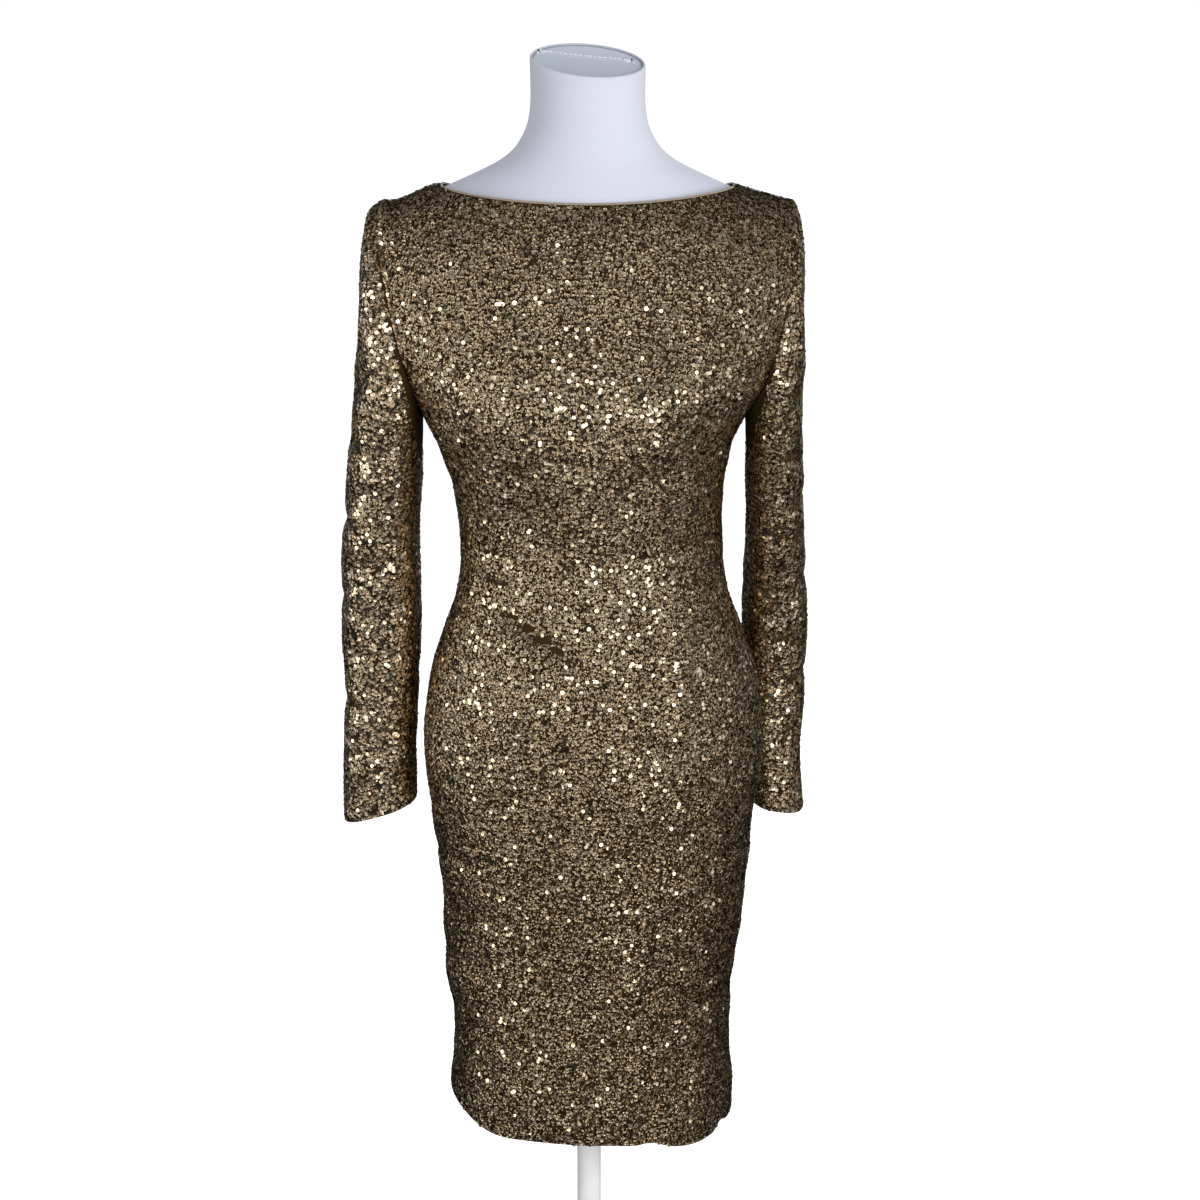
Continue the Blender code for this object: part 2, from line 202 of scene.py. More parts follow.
def build_studio():
    """The floor, the surround, the soft boxes and the camera."""
    side = np.linspace(-FLOOR_SIDE / 2, FLOOR_SIDE / 2, 3)
    x, y = np.meshgrid(side, side)
    finish, shader, place = new_finish("Pale floor", {
        "Roughness": 0.85, "Emission Color": (1, 1, 1, 1), "Emission Strength": FLOOR_GLOW})
    speck = place.node("ShaderNodeTexNoise", sockets={"Vector": place, "Scale": 6.0})
    feed(shader, "Base Color", speck.blend((0.93, 0.93, 0.93, 1), (0.96, 0.96, 0.96, 1)))
    floor = put("pale_floor", grid_mesh(np.stack([x, y, 0 * x - FLOOR_GAP], axis=-1)), finish)
    floor.visible_glossy = False
    floor.visible_diffuse = False

    world = bpy.data.worlds.new("Studio surround")
    bpy.context.scene.world = world
    world.use_nodes = True
    room = Tone(world.node_tree)
    direction = room.node("ShaderNodeTexCoord")
    height = room.node("ShaderNodeSeparateXYZ", sockets={0: direction}, output=2)
    plain = height.climb(*ROOM_CLIMB, *ROOM_LIGHT)
    for middle, reach, light in ROOM_BANDS:
        off_band = room.maths("ABSOLUTE", height - middle)
        plain = plain + off_band.climb(reach, 0.0, 0.0, light)
    clutter = room.node("ShaderNodeTexNoise", sockets={
        "Vector": direction, "Scale": PATCH_SCALE, "Detail": 2.0})
    patches = clutter.climb(*PATCH_EDGE, *ROOM_PATCHES)
    facing = room.node("ShaderNodeSeparateXYZ", sockets={0: direction}, output=1)
    behind = facing.climb(*BEHIND_EDGE, 1.0, ROOM_BEHIND)
    mirrored = plain * patches * behind
    seen = room.node("ShaderNodeLightPath")
    matt = room.node("ShaderNodeLightPath", output=2)
    strength = mirrored + seen * (SURROUND_WHITE - mirrored) + matt * (SURROUND_FILL - mirrored)
    world.node_tree.links.new(strength.socket, world.node_tree.nodes["Background"].inputs["Strength"])
    world.node_tree.nodes["Background"].inputs["Color"].default_value = (1, 1, 1, 1)

    for name, place, sides, watts, glossy in SOFT_BOXES:
        lamp = bpy.data.lights.new(name, "AREA")
        lamp.shape = "RECTANGLE"
        lamp.size, lamp.size_y = sides
        lamp.energy = watts
        lamp.color = LAMP_COLOUR
        box = bpy.data.objects.new(name, lamp)
        box.visible_glossy = glossy
        box.location = place
        box.rotation_euler = (FORM_MIDDLE - Vector(place)).to_track_quat("-Z", "Y").to_euler()
        bpy.context.scene.collection.objects.link(box)

    lens = bpy.data.cameras.new("Camera")
    lens.lens = CAMERA_LENS
    camera = bpy.data.objects.new("Camera", lens)
    camera.location = CAMERA_PLACE
    camera.rotation_euler = (np.radians(90 - CAMERA_TILT), 0, 0)
    bpy.context.scene.collection.objects.link(camera)
    bpy.context.scene.camera = camera
    bpy.context.scene.view_settings.view_transform = "Standard"


build_studio()

# ------------------------------------------------------------------------------------------
# Foot and pole: a round cast foot with a raised hub, and a steel tube that stands in it and
# ends at the underside of the torso. Both are painted white, a little glossy.
FOOT_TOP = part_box("form_base")[1]      # the highest corner of its box
FOOT_RADIUS = FOOT_TOP[0]
FOOT_HEIGHT = 0.022
HUB_RADIUS = 0.024
HUB_HEIGHT = FOOT_TOP[2]
POLE_LOW, POLE_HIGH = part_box("form_pole")
POLE_RADIUS = POLE_HIGH[0]
FOOT_EDGE = 0.010                      # height at which the foot's crown starts
CROWN_INSET = 0.006                    # and how far in from its edge
FOOT_CORNER = 0.0065                   # radius of the round corner below it
FOOT_CORNER_INSET = 0.007
HUB_FILLET = 0.007
ROUNDING = 0.003                       # radius of the foot's and hub's rounded edges
POLE_ROUNDING = 0.0008
HUB_DIMPLE = 0.004                     # depth of the ring between the hub and the pole
TURNED_STEPS = 96
PAINT_WHITE = (0.86, 0.86, 0.87, 1)
PAINT_SHADE = (0.80, 0.80, 0.82, 1)


def turned_mesh(profile, steps):
    """A profile of (radius, height) points turned round the Z axis: x = r cos a, y = r sin a."""
    radius, height = np.array(profile, float).T
    turn = np.linspace(0, 2 * np.pi, steps, endpoint=False)
    x = radius[:, None] * np.cos(turn)
    y = radius[:, None] * np.sin(turn)
    return grid_mesh(np.stack([x, y, height[:, None] + 0 * x], axis=-1), around=True)


def corner(centre, radius, start, end, steps=6):
    """Points of a round corner in a profile: an arc about centre, its angles in degrees."""
    turn = np.radians(np.linspace(start, end, steps))
    return [(centre[0] + radius * np.cos(a), centre[1] + radius * np.sin(a)) for a in turn]


def weld(obj):
    """Merges the points that meet at a pole, once the mesh is final."""
    joint = obj.modifiers.new("Closed poles", "WELD")
    joint.merge_threshold = 0.00002
    return obj


def build_stand():
    """The foot and the pole in white paint."""
    finish, shader, place = new_finish("White stand paint", {"Coat Weight": 0.2})
    speck = place.node("ShaderNodeTexNoise", sockets={"Vector": place, "Scale": 38.0, "Detail": 6.0})
    feed(shader, "Base Color", speck.blend(PAINT_SHADE, PAINT_WHITE))
    feed(shader, "Roughness", 0.28 + speck * 0.16)
    orange_peel = place.node("ShaderNodeTexNoise", sockets={"Vector": place, "Scale": 420.0})
    emboss(shader, orange_peel, 0.12, 0.0004)

    start = FOOT_RADIUS - CROWN_INSET
    crown = [(start - (start - HUB_RADIUS - FOOT_EDGE) * t,
              FOOT_EDGE + (FOOT_HEIGHT - FOOT_EDGE) * np.sin(t * np.pi / 2)) for t in np.linspace(0, 1, 12)]
    hole = POLE_RADIUS + 0.001
    profile = ([(0, 0.0), (FOOT_RADIUS - ROUNDING, 0.0)]
               + corner((FOOT_RADIUS - ROUNDING, ROUNDING), ROUNDING, -90, 0)
               + corner((FOOT_RADIUS - FOOT_CORNER_INSET, FOOT_CORNER), FOOT_CORNER, 15, 62) + crown[1:]
               + corner((HUB_RADIUS + HUB_FILLET, FOOT_HEIGHT + HUB_FILLET), HUB_FILLET, -90, -180)
               + corner((HUB_RADIUS - ROUNDING, HUB_HEIGHT - ROUNDING), ROUNDING, 0, 90)
               + [(hole, HUB_HEIGHT), (hole, HUB_HEIGHT - HUB_DIMPLE), (0, HUB_HEIGHT - HUB_DIMPLE)])
    foot = weld(put("stand_foot", turned_mesh(profile, TURNED_STEPS), finish))
    inner = POLE_RADIUS - POLE_ROUNDING
    pole = ([(0, POLE_LOW[2])] + corner((inner, POLE_LOW[2] + POLE_ROUNDING), POLE_ROUNDING, -90, 0)
            + corner((inner, POLE_HIGH[2] - POLE_ROUNDING), POLE_ROUNDING, 0, 90) + [(0, POLE_HIGH[2])])
    tube = weld(put("stand_pole", turned_mesh(pole, TURNED_STEPS // 2), finish))
    for piece, node in ((foot, "form_base"), (tube, "form_pole")):
        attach(piece, "root")
        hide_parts(node)


build_stand()

# ------------------------------------------------------------------------------------------
# Torso and neck: a moulded limbless form under a close white jersey cover, whose flat
# underside takes the pole. Only the neck and the top of the chest show above the dress.
SHOULDER_LINE = 1.270                  # height of the shoulder seams' inner ends
UNDERARM = -0.225                      # the figure's heights are measured from the shoulder line
SHOULDER_TIP = -0.0155
NECK_END = 0.142                       # half width of the dress's neck opening
TIP_REACH = 0.197
ARCH_POWER = 2.5
NECK_RIDGE = 0.050                     # how far the shoulder line domes over the neck opening
BUST = {"aside": 0.080, "height": -0.212, "spread": 0.058, "lift": 0.011}


def table(columns, rows):
    """Rows of numbers under named columns."""
    return np.array(rows, [(column, float) for column in columns.split()])


FIGURE = table("height half_width front back squareness sway", [
    (-0.970, 0.1462, 0.126, 0.114, 2.35, 0.003),
    (-0.930, 0.1468, 0.125, 0.113, 2.35, 0.003),
    (-0.865, 0.1426, 0.121, 0.112, 2.30, 0.003),
    (-0.800, 0.1488, 0.117, 0.112, 2.20, 0.001),
    (-0.720, 0.1552, 0.114, 0.115, 2.25, 0.005),
    (-0.640, 0.1625, 0.112, 0.121, 2.30, 0.004),
    (-0.560, 0.1712, 0.113, 0.128, 2.30, 0.005),
    (-0.500, 0.1665, 0.111, 0.124, 2.25, 0.005),
    (-0.450, 0.1530, 0.106, 0.112, 2.20, 0.005),
    (-0.400, 0.1352, 0.099, 0.097, 2.15, 0.004),
    (-0.350, 0.1303, 0.096, 0.089, 2.15, 0.003),
    (-0.310, 0.1318, 0.102, 0.092, 2.20, 0.001),
    (-0.270, 0.1390, 0.111, 0.099, 2.25, -0.002),
    (-0.225, 0.1560, 0.118, 0.106, 2.35, -0.004),
    (-0.180, 0.1835, 0.119, 0.109, 2.40, 0.000),
    (-0.150, 0.2000, 0.116, 0.110, 2.40, 0.000),
    (-0.120, 0.2095, 0.112, 0.110, 2.40, 0.000),
    (-0.080, 0.2150, 0.109, 0.111, 2.40, 0.000),
    (-0.040, 0.2150, 0.106, 0.113, 2.40, 0.000),
    (0.010, 0.2150, 0.100, 0.114, 2.40, 0.000),
])
TORSO_CLEAR = 0.0045                   # room between the cover and the outside of the dress
TORSO_BOTTOM = -0.700
TORSO_TOP = -0.215                     # above this the torso has sections of its own
CHEST = table("height half_width front back bow pinch", [
    (-0.180, 0.1560, 0.113, 0.103, 2.20, 2.20),
    (-0.140, 0.1600, 0.107, 0.102, 2.20, 2.20),
    (-0.100, 0.1660, 0.098, 0.099, 2.20, 2.15),
    (-0.065, 0.1730, 0.089, 0.094, 2.10, 2.05),
    (-0.040, 0.1790, 0.082, 0.089, 2.05, 1.90),
    (-0.026, 0.1800, 0.077, 0.085, 2.00, 1.75),
    (-0.018, 0.1700, 0.074, 0.082, 2.00, 1.55),
    (-0.012, 0.1575, 0.072, 0.079, 2.00, 1.45),
    (-0.005, 0.1440, 0.070, 0.075, 2.00, 1.33),
    (0.003, 0.1268, 0.067, 0.071, 2.00, 1.37),
    (0.013, 0.1045, 0.063, 0.068, 2.00, 1.60),
    (0.023, 0.0850, 0.060, 0.064, 2.00, 1.75),
    (0.033, 0.0722, 0.058, 0.060, 2.00, 1.90),
    (0.043, 0.0648, 0.057, 0.056, 2.00, 2.00),
    (0.055, 0.0590, 0.056, 0.053, 2.00, 2.00),
    (0.075, 0.0552, 0.056, 0.051, 2.00, 2.00),
    (0.098, 0.0548, 0.057, 0.050, 2.00, 2.00),
])
NECK_TOP = 0.118
NECK_SLANT = np.radians(13.6)
NECK_ROLL = np.radians(4.5)
NECK_HALF_WIDTH = 0.0552
NECK_HALF_DEPTH = 0.0540
NECK_FORWARD = 0.006
RIM_ROUND = 0.0022                     # radius of the jersey's turn over the neck's edge
TORSO_STEPS = 112
JERSEY_LIGHT = (0.628, 0.650, 0.755, 1)
JERSEY_SHADE = (0.583, 0.606, 0.712, 1)


def read(sections, height, column):
    """A smooth cubic curve through one column of a table, each point's slope taken across its neighbours."""
    order = np.argsort(sections["height"])
    x, y = sections["height"][order], sections[column][order]
    slope = np.gradient(y, x)
    height = np.clip(height, x[0], x[-1])
    i = np.clip(np.searchsorted(x, height) - 1, 0, len(x) - 2)
    step = x[i + 1] - x[i]
    t = (height - x[i]) / step
    return ((1 + 2 * t) * (1 - t) ** 2 * y[i] + t * (1 - t) ** 2 * step * slope[i]
            + t * t * (3 - 2 * t) * y[i + 1] + t * t * (t - 1) * step * slope[i + 1])


def shoulder_ridge(x):
    """Height of the shoulder line: a slope on the right, a bent step on the left, and a dome between."""
    reach = np.abs(x)
    share = np.clip((reach - NECK_END) / (TIP_REACH - NECK_END), 0, 1.2)
    bent = np.clip(1.12 * share, 0, 1)
    slope = SHOULDER_TIP * np.where(x < 0, bent * bent * (3 - 2 * bent), share ** 0.9)
    return slope + NECK_RIDGE * np.clip(1 - (reach / NECK_END) ** 2, 0, 1)


def cloth_depth(x, height, face):
    """Distance of the dress from the centre plane: depth (1 - |x/w|^n)^(1/n), times the shoulder arch
    (1 - rise^2.5)^(1/2.5), and over the front a soft mound for each side of the bust."""
    wide = read(FIGURE, height, "half_width")
    power = read(FIGURE, height, "squareness")
    across = np.clip(1 - np.abs(x / wide) ** power, 0, 1) ** (1 / power)
    rise = np.clip((height - UNDERARM) / (shoulder_ridge(x) - UNDERARM), 0, 1)
    depth = read(FIGURE, height, face) * across * (1 - rise ** ARCH_POWER) ** (1 / ARCH_POWER)
    if face == "front":
        aside = (np.abs(x) - BUST["aside"]) / BUST["spread"]
        above = (height - BUST["height"]) / BUST["spread"]
        depth = depth + BUST["lift"] * np.exp(-aside ** 2 - above ** 2) * across
    return depth


def neck_ring(turn, inset, lower):
    """A ring on the neck's slanting top: an ellipse pulled in by inset and lowered."""
    x = (NECK_HALF_WIDTH - inset) * np.cos(turn)
    along = (NECK_HALF_DEPTH - inset) * np.sin(turn)
    y = along * np.cos(NECK_SLANT) - NECK_FORWARD
    height = NECK_TOP + along * np.sin(NECK_SLANT) - x * np.tan(NECK_ROLL) + lower
    return np.stack([x, y, height], axis=-1)


def torso_points():
    """Rings from the flat underside up to the neck's rim. Under the arms they are the dress's own sections
    drawn in by the clearance. Above, x = w |cos|^(2/bow), y = d |sin|^(2/pinch), and the jersey rolls
    over the rim on a quarter circle."""
    turn = np.linspace(0, 2 * np.pi, TORSO_STEPS, endpoint=False)
    c, s = np.cos(turn), np.sin(turn)
    rings = [np.stack([0 * c, 0 * c, 0 * c + TORSO_BOTTOM], axis=-1)]
    for height in np.linspace(TORSO_BOTTOM, TORSO_TOP, 24):
        wide = read(FIGURE, height, "half_width")
        x = wide * np.sign(c) * np.abs(c) ** (2 / read(FIGURE, height, "squareness"))
        y = np.where(s < 0, -cloth_depth(x, height, "front"), cloth_depth(x, height, "back"))
        y = y * (np.abs(s) > 1e-6) * (1 - TORSO_CLEAR / read(FIGURE, height, "back"))
        x = x * (1 - TORSO_CLEAR / wide) + read(FIGURE, height, "sway")
        rings.append(np.stack([x, y, 0 * x + height], axis=-1))
    levels = np.concatenate([np.linspace(-0.180, -0.045, 10), np.linspace(-0.040, 0.098, 50)])
    for height in levels:
        wide, front, back, bow, pinch = (
            read(CHEST, height, name) for name in ("half_width", "front", "back", "bow", "pinch"))
        x = wide * np.sign(c) * np.abs(c) ** (2 / bow)
        y = np.where(s < 0, front, back) * np.sign(s) * np.abs(s) ** (2 / pinch)
        rings.append(np.stack([x, y, 0 * x + height], axis=-1))
    for part in np.radians(np.linspace(0, 90, 6)):
        rings.append(neck_ring(turn, RIM_ROUND * (1 - np.cos(part)), RIM_ROUND * (np.sin(part) - 1)))
    rings.append(neck_ring(turn, RIM_ROUND * 1.2, -RIM_ROUND * 3))
    rings.append(rings[-1].mean(axis=0) + 0 * rings[-1])
    return np.array(rings) + [0, 0, SHOULDER_LINE]


def jersey_finish(name, light, shade, roughness, fade=0.0):
    """Knitted jersey: fine ribs of stitches as a bump, and a faint cloudiness of colour. With a fade, the
    colour also carries painted light and shade: lighter to the back and darker to the front."""
    finish, shader, place = new_finish(name, {
        "Roughness": roughness, "Specular IOR Level": 0.25, "Sheen Weight": 0.15})
    cloud = place.node("ShaderNodeTexNoise", sockets={"Vector": place, "Scale": 9.0, "Detail": 4.0})
    ribs = place.node("ShaderNodeTexWave", {"bands_direction": "X"}, {
        "Vector": place, "Scale": 330.0, "Distortion": 1.6, "Detail": 2.0})
    loops = place.node("ShaderNodeTexWave", {"bands_direction": "Z"}, {
        "Vector": place, "Scale": 260.0, "Distortion": 1.2, "Detail": 1.0})
    knit = ribs * loops
    cloudy = cloud * 0.7 + knit * 0.3
    # with a fade, painted light and shade: the colour climbs from shade to light towards the back
    if fade:
        painted_light_depth = place.node("ShaderNodeSeparateXYZ", sockets={0: place}, output=1)
        cloudy = cloudy * 0.2 + 0.25 + painted_light_depth * fade
    feed(shader, "Base Color", cloudy.blend(shade, light))
    emboss(shader, knit, 0.35, 0.0003)
    return finish


def build_torso():
    """The jersey cover of the torso and neck."""
    finish = jersey_finish("White jersey", JERSEY_LIGHT, JERSEY_SHADE, 0.8)
    torso = weld(put("torso_cover", grid_mesh(torso_points(), around=True), finish))
    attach(torso, "root")
    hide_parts("form_body")


build_torso()

# ------------------------------------------------------------------------------------------
# Neck cap: a disc of grey-white jersey set in the top of the neck, with a thin cord round it,
# pulled flat between two steel pins, where it puckers, and held by a line of white stitches.
# Its colour is painted shade towards the front and painted light towards the back, the puckers
# carry a painted highlight, and the cord's dark grey is partly painted shade of the recess at the rim.
CAP_INSET = RIM_ROUND * 1.3
CAP_LOWER = -0.0020
CAP_SAG = 0.0014
CAP_CLOTH = 0.001                      # its thickness
STITCH_RIDGE = (0.0011, 0.003)         # height and reach of its rise at the stitches
CAP_CORD = 0.00055                     # radius of the grey cord that edges the cap, its dark grey partly painted shade of the rim's recess
CORD_PAINTED_SHADE_PALE = (0.36, 0.38, 0.46, 1)
CORD_PAINTED_SHADE_DEEP = (0.24, 0.26, 0.32, 1)
PUCKERS = table("pin aim half_length", [     # the aim in degrees
    (0, -8, 0.0040), (0, -52, 0.0036), (0, -100, 0.0044), (0, 62, 0.0026),
    (1, 186, 0.0036), (1, 226, 0.0036), (1, 282, 0.0042), (1, 120, 0.0024),
])
PUCKER_RADIUS = 0.0010
PUCKER_START = 0.0012                  # how far from its pin's middle a pucker starts
CAP_PAINTED_LIGHT = (0.70, 0.760, 0.905, 1)    # painted light, towards the back
CAP_PAINTED_SHADE = (0.465, 0.510, 0.630, 1)   # painted shade, towards the front
CAP_PAINTED_LIGHT_FADE = 8.0                         # how fast the painted shade gives way to the painted light, per metre
PINS = np.array([(-0.0470, 0.022), (0.0420, 0.016)])    # from the middle of the cap: aside, back
# a paler colour on the puckers: a painted highlight on their raised folds
PUCKER_PAINTED_HIGHLIGHT = (0.86, 0.88, 0.95, 1)
STITCHES = 17
STITCH_HALF_LENGTH = 0.0019
STITCH_UNEVEN = 0.0003
STITCH_RADIUS = 0.00045
STITCHED_PART = (0.05, 0.95)           # of the way from pin to pin
PIN_RADIUS = 0.0016
PIN_LEAN = (0, 1.0, 0.3)               # the way a pin points: back and a little up


def cap_height(x, along):
    """The cap's surface above its ring's plane: a shallow sag that rises to the line of stitches."""
    edge = np.clip(1 - (x / NECK_HALF_WIDTH) ** 2 - (along / NECK_HALF_DEPTH) ** 2, 0, 1)
    line = np.interp(x, *PINS.T)
    ridge = STITCH_RIDGE[0] * np.exp(-((along - line) / STITCH_RIDGE[1]) ** 2) * edge ** 0.5
    return -CAP_SAG * edge + ridge


def on_cap(x, along, lift):
    """A point of the cap as a place in the room, lifted off its surface."""
    y = along * np.cos(NECK_SLANT) - NECK_FORWARD
    height = NECK_TOP + along * np.sin(NECK_SLANT) - x * np.tan(NECK_ROLL)
    return np.stack([x, y, SHOULDER_LINE + height + CAP_LOWER + cap_height(x, along) + lift], axis=-1)


def unit(vectors):
    """The vectors of an array, each brought to length 1."""
    return vectors / np.maximum(np.linalg.norm(vectors, axis=-1, keepdims=True), 1e-12)


def beads(name, centres, directions, half_lengths, radius, finish, around=10, along=9):
    """A piece of separate spheroids, each of its own half length in its direction: x = cos p, r = sin p."""
    part = np.linspace(np.pi, 0, along)[:, None, None]
    turn = np.linspace(0, 2 * np.pi, around, endpoint=False)[:, None]
    run = unit(directions)[:, None, None]
    side = unit(np.cross((0, 0, 1.0), run))
    ring = np.cos(turn) * side + np.sin(turn) * np.cross(run, side)
    shape = half_lengths[:, None, None, None] * np.cos(part) * run + radius * np.sin(part) * ring
    grid = (centres[:, None, None] + shape).reshape(-1, around, 3)
    return weld(put(name, grid_mesh(grid, around=True, strip=along), finish))


def build_cap():
    """The cap, its stitches, puckers, cord and two pins."""
    # the cap's colour is painted shade to the front and painted light to the back
    cloth = jersey_finish("Cap jersey with painted light and shade", CAP_PAINTED_LIGHT, CAP_PAINTED_SHADE, 0.85, CAP_PAINTED_LIGHT_FADE)
    turn = np.linspace(0, 2 * np.pi, 72, endpoint=False)
    rim_x = (NECK_HALF_WIDTH - CAP_INSET) * np.cos(turn)
    rim_along = (NECK_HALF_DEPTH - CAP_INSET) * np.sin(turn)
    share = np.linspace(1, 0, 28)[:, None]
    disc = grid_mesh(on_cap(share * rim_x, share * rim_along, 0.0), around=True)
    cap = weld(put("neck_cap_cloth", disc, cloth))
    wall = cap.modifiers.new("Cap cloth", "SOLIDIFY")
    wall.thickness = CAP_CLOTH
    wall.offset = -1

    share = np.interp((np.arange(STITCHES) + 0.5) / STITCHES, (0, 1), STITCHED_PART)
    middle = PINS[0] + (PINS[1] - PINS[0]) * share[:, None]
    run = np.diff(on_cap(*PINS.T, 0), axis=0)
    half_lengths = STITCH_HALF_LENGTH + STITCH_UNEVEN * np.sin(np.arange(STITCHES) * 2.3)
    thread, shader, place = new_finish("White thread", {"Roughness": 0.6, "Sheen Weight": 0.3})
    twist = place.node("ShaderNodeTexWave", {"bands_direction": "DIAGONAL"}, {
        "Vector": place, "Scale": 900.0})
    feed(shader, "Base Color", twist.blend((0.80, 0.82, 0.88, 1), (0.95, 0.95, 0.97, 1)))
    stitches = beads("cap_stitches", on_cap(*middle.T, STITCH_RADIUS * 0.6),
                     np.repeat(run, STITCHES, axis=0), half_lengths, STITCH_RADIUS, thread)

    pin_x, pin_along = PINS[PUCKERS["pin"].astype(int)].T
    aim = np.radians(PUCKERS["aim"])
    reach = PUCKERS["half_length"] + PUCKER_START
    middle = on_cap(pin_x + reach * np.cos(aim), pin_along + reach * np.sin(aim), 0)
    # the puckers' paler colour is a painted highlight
    white = jersey_finish("Puckered jersey with painted highlight", PUCKER_PAINTED_HIGHLIGHT, JERSEY_LIGHT, 0.8)
    puckers = beads("cap_puckers", middle, middle - on_cap(pin_x, pin_along, 0),
                    PUCKERS["half_length"], PUCKER_RADIUS, white)

    out = np.stack([np.cos(turn), np.sin(turn), 0 * turn], axis=-1)
    part = np.linspace(0, 2 * np.pi, 9)[:, None, None]
    tube = (on_cap(rim_x, rim_along, CAP_CORD * 0.5)
            + CAP_CORD * (np.cos(part) * out + np.sin(part) * np.array([0, 0, -1.0])))
    # the cord's dark grey is partly painted shade of the recess at the cap's rim
    cord_finish = jersey_finish("Grey cord with painted rim shade", CORD_PAINTED_SHADE_PALE, CORD_PAINTED_SHADE_DEEP, 0.9)
    cord = weld(put("cap_cord", grid_mesh(tube, around=True), cord_finish))

    steel, shader, place = new_finish("Pin steel", {"Metallic": 1.0, "Roughness": 0.3})
    brushed = place.node("ShaderNodeTexNoise", sockets={"Vector": place, "Scale": 900.0})
    feed(shader, "Base Color", brushed.blend((0.10, 0.10, 0.11, 1), (0.20, 0.20, 0.21, 1)))
    pins = beads("cap_pins", on_cap(*PINS.T, PIN_RADIUS * 0.4), np.array([PIN_LEAN] * 2),
                 np.full(2, PIN_RADIUS * 1.2), PIN_RADIUS * 0.55, steel)
    for piece in (cap, stitches, puckers, cord, pins):
        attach(piece, "root")
    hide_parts("form_neck_cap")


build_cap()

# ------------------------------------------------------------------------------------------
# Front and back of the dress: two panels of thin brown mesh cloth, seamed at the sides and
# on the shoulders, close at the waist and tapering to the knee. Small folds pull round the
# armholes, the waist and the left of the skirt.
HEM = -0.9475
HEM_TILT = 0.0115
HEM_SIDE_RISE = 0.006
HEM_DIP = 0.006
HEM_BUMPS = (                          # middle and reach, as shares of the half width, and rise
    (0.43, 0.09, 0.0036),
    (0.905, 0.035, 0.0065),
)
NECK_DROP = {"front": 0.0105, "back": 0.022}
NECK_POWER = {"front": 2, "back": 4}   # over 2 a neckline is flatter in the middle, with steeper ends
ARMHOLE_BITE = np.radians(29.5)        # how far an armhole cuts in from the side
TIP_FADE = 0.10                        # share of its height in which it reaches the shoulder tip
ARMHOLE_MOST = TIP_REACH + 0.002       # the furthest out that its upper half lies
SEAM_GAP = 0.0003
BODY_DEPTH = 0.11                      # how deep the body is each way, for the side on which folds rise
MESH_CLOTH = 0.0012                    # thickness of the cloth under the sequins
SEQUIN_ROOM = 0.0008                   # how far the cloth lies inside the finished outline
SIDE_SHARE = 0.74                      # share of a panel's rows below the underarm
SHOULDER_SHARE = 0.17                  # share of its columns that end at each shoulder seam
PANEL_SETTLE = 8                       # a panel's folds fade over the last 1 / 8 below its top
PANEL_GRID = (96, 78)                  # rows, columns
MESH_DARK = (0.018, 0.008, 0.001, 1)
MESH_BROWN = (0.042, 0.023, 0.005, 1)
FOLD_COLUMNS = "x height length lean width depth bow"
FRONT_FOLDS = table(FOLD_COLUMNS, [
    # two pulls run down from the left of the waist towards the belly
    (-0.061, -0.425, 0.130, -34, 0.0085, -0.0042, 0.003),
    (-0.067, -0.446, 0.125, -34, 0.0120, 0.0030, 0.003),
    (-0.030, -0.442, 0.070, -35, 0.0100, -0.0018, 0.002),
    # short level folds at each side of the waist
    (-0.105, -0.352, 0.070, 4, 0.0060, -0.0022, 0.002),
    (-0.100, -0.374, 0.080, -6, 0.0065, -0.0020, -0.002),
    (0.108, -0.342, 0.060, -8, 0.0070, -0.0020, 0.002),
    (0.100, -0.372, 0.085, 7, 0.0070, -0.0019, -0.003),
    (0.020, -0.352, 0.110, 2, 0.0110, -0.0014, 0.004),
    # a standing ridge on the right hip, and the belly's soft shelf
    (0.088, -0.480, 0.200, 87, 0.0110, 0.0032, 0.002),
    (0.062, -0.462, 0.100, 78, 0.0090, -0.0018, 0.002),
    (0.050, -0.520, 0.120, -24, 0.0150, 0.0024, 0.006),
    (-0.060, -0.505, 0.110, 22, 0.0140, 0.0020, 0.006),
    # pulls from the armholes to the bust
    (-0.128, -0.165, 0.090, -33, 0.0090, -0.0024, 0.003),
    (-0.120, -0.190, 0.080, -40, 0.0080, 0.0018, 0.002),
    (0.130, -0.160, 0.085, 36, 0.0090, -0.0022, 0.003),
    (0.118, -0.188, 0.070, 42, 0.0085, 0.0016, 0.002),
    # under the bust
    (-0.070, -0.272, 0.090, -4, 0.0120, -0.0016, 0.006),
    (0.072, -0.270, 0.090, 5, 0.0120, -0.0016, 0.006),
    # the left edge of the skirt sags in scallops
    (-0.135, -0.668, 0.110, 6, 0.0110, -0.0030, 0.003),
    (-0.135, -0.722, 0.120, -5, 0.0130, -0.0024, 0.003),
    (-0.130, -0.776, 0.100, 8, 0.0120, -0.0026, 0.003),
    (-0.128, -0.842, 0.110, -4, 0.0130, -0.0022, 0.003),
    (0.130, -0.700, 0.090, -7, 0.0140, -0.0018, 0.003),
    (0.128, -0.815, 0.100, 5, 0.0140, -0.0018, 0.003),
    # long slack folds down the front of the skirt
    (0.045, -0.790, 0.240, 86, 0.0180, 0.0020, 0.006),
    (-0.035, -0.760, 0.260, 94, 0.0200, -0.0016, 0.006),
    (-0.075, -0.850, 0.200, 84, 0.0170, 0.0018, 0.004),
    (0.090, -0.880, 0.150, 95, 0.0150, -0.0020, 0.003),
    (0.058, -0.925, 0.080, 80, 0.0100, -0.0030, 0.001),
])
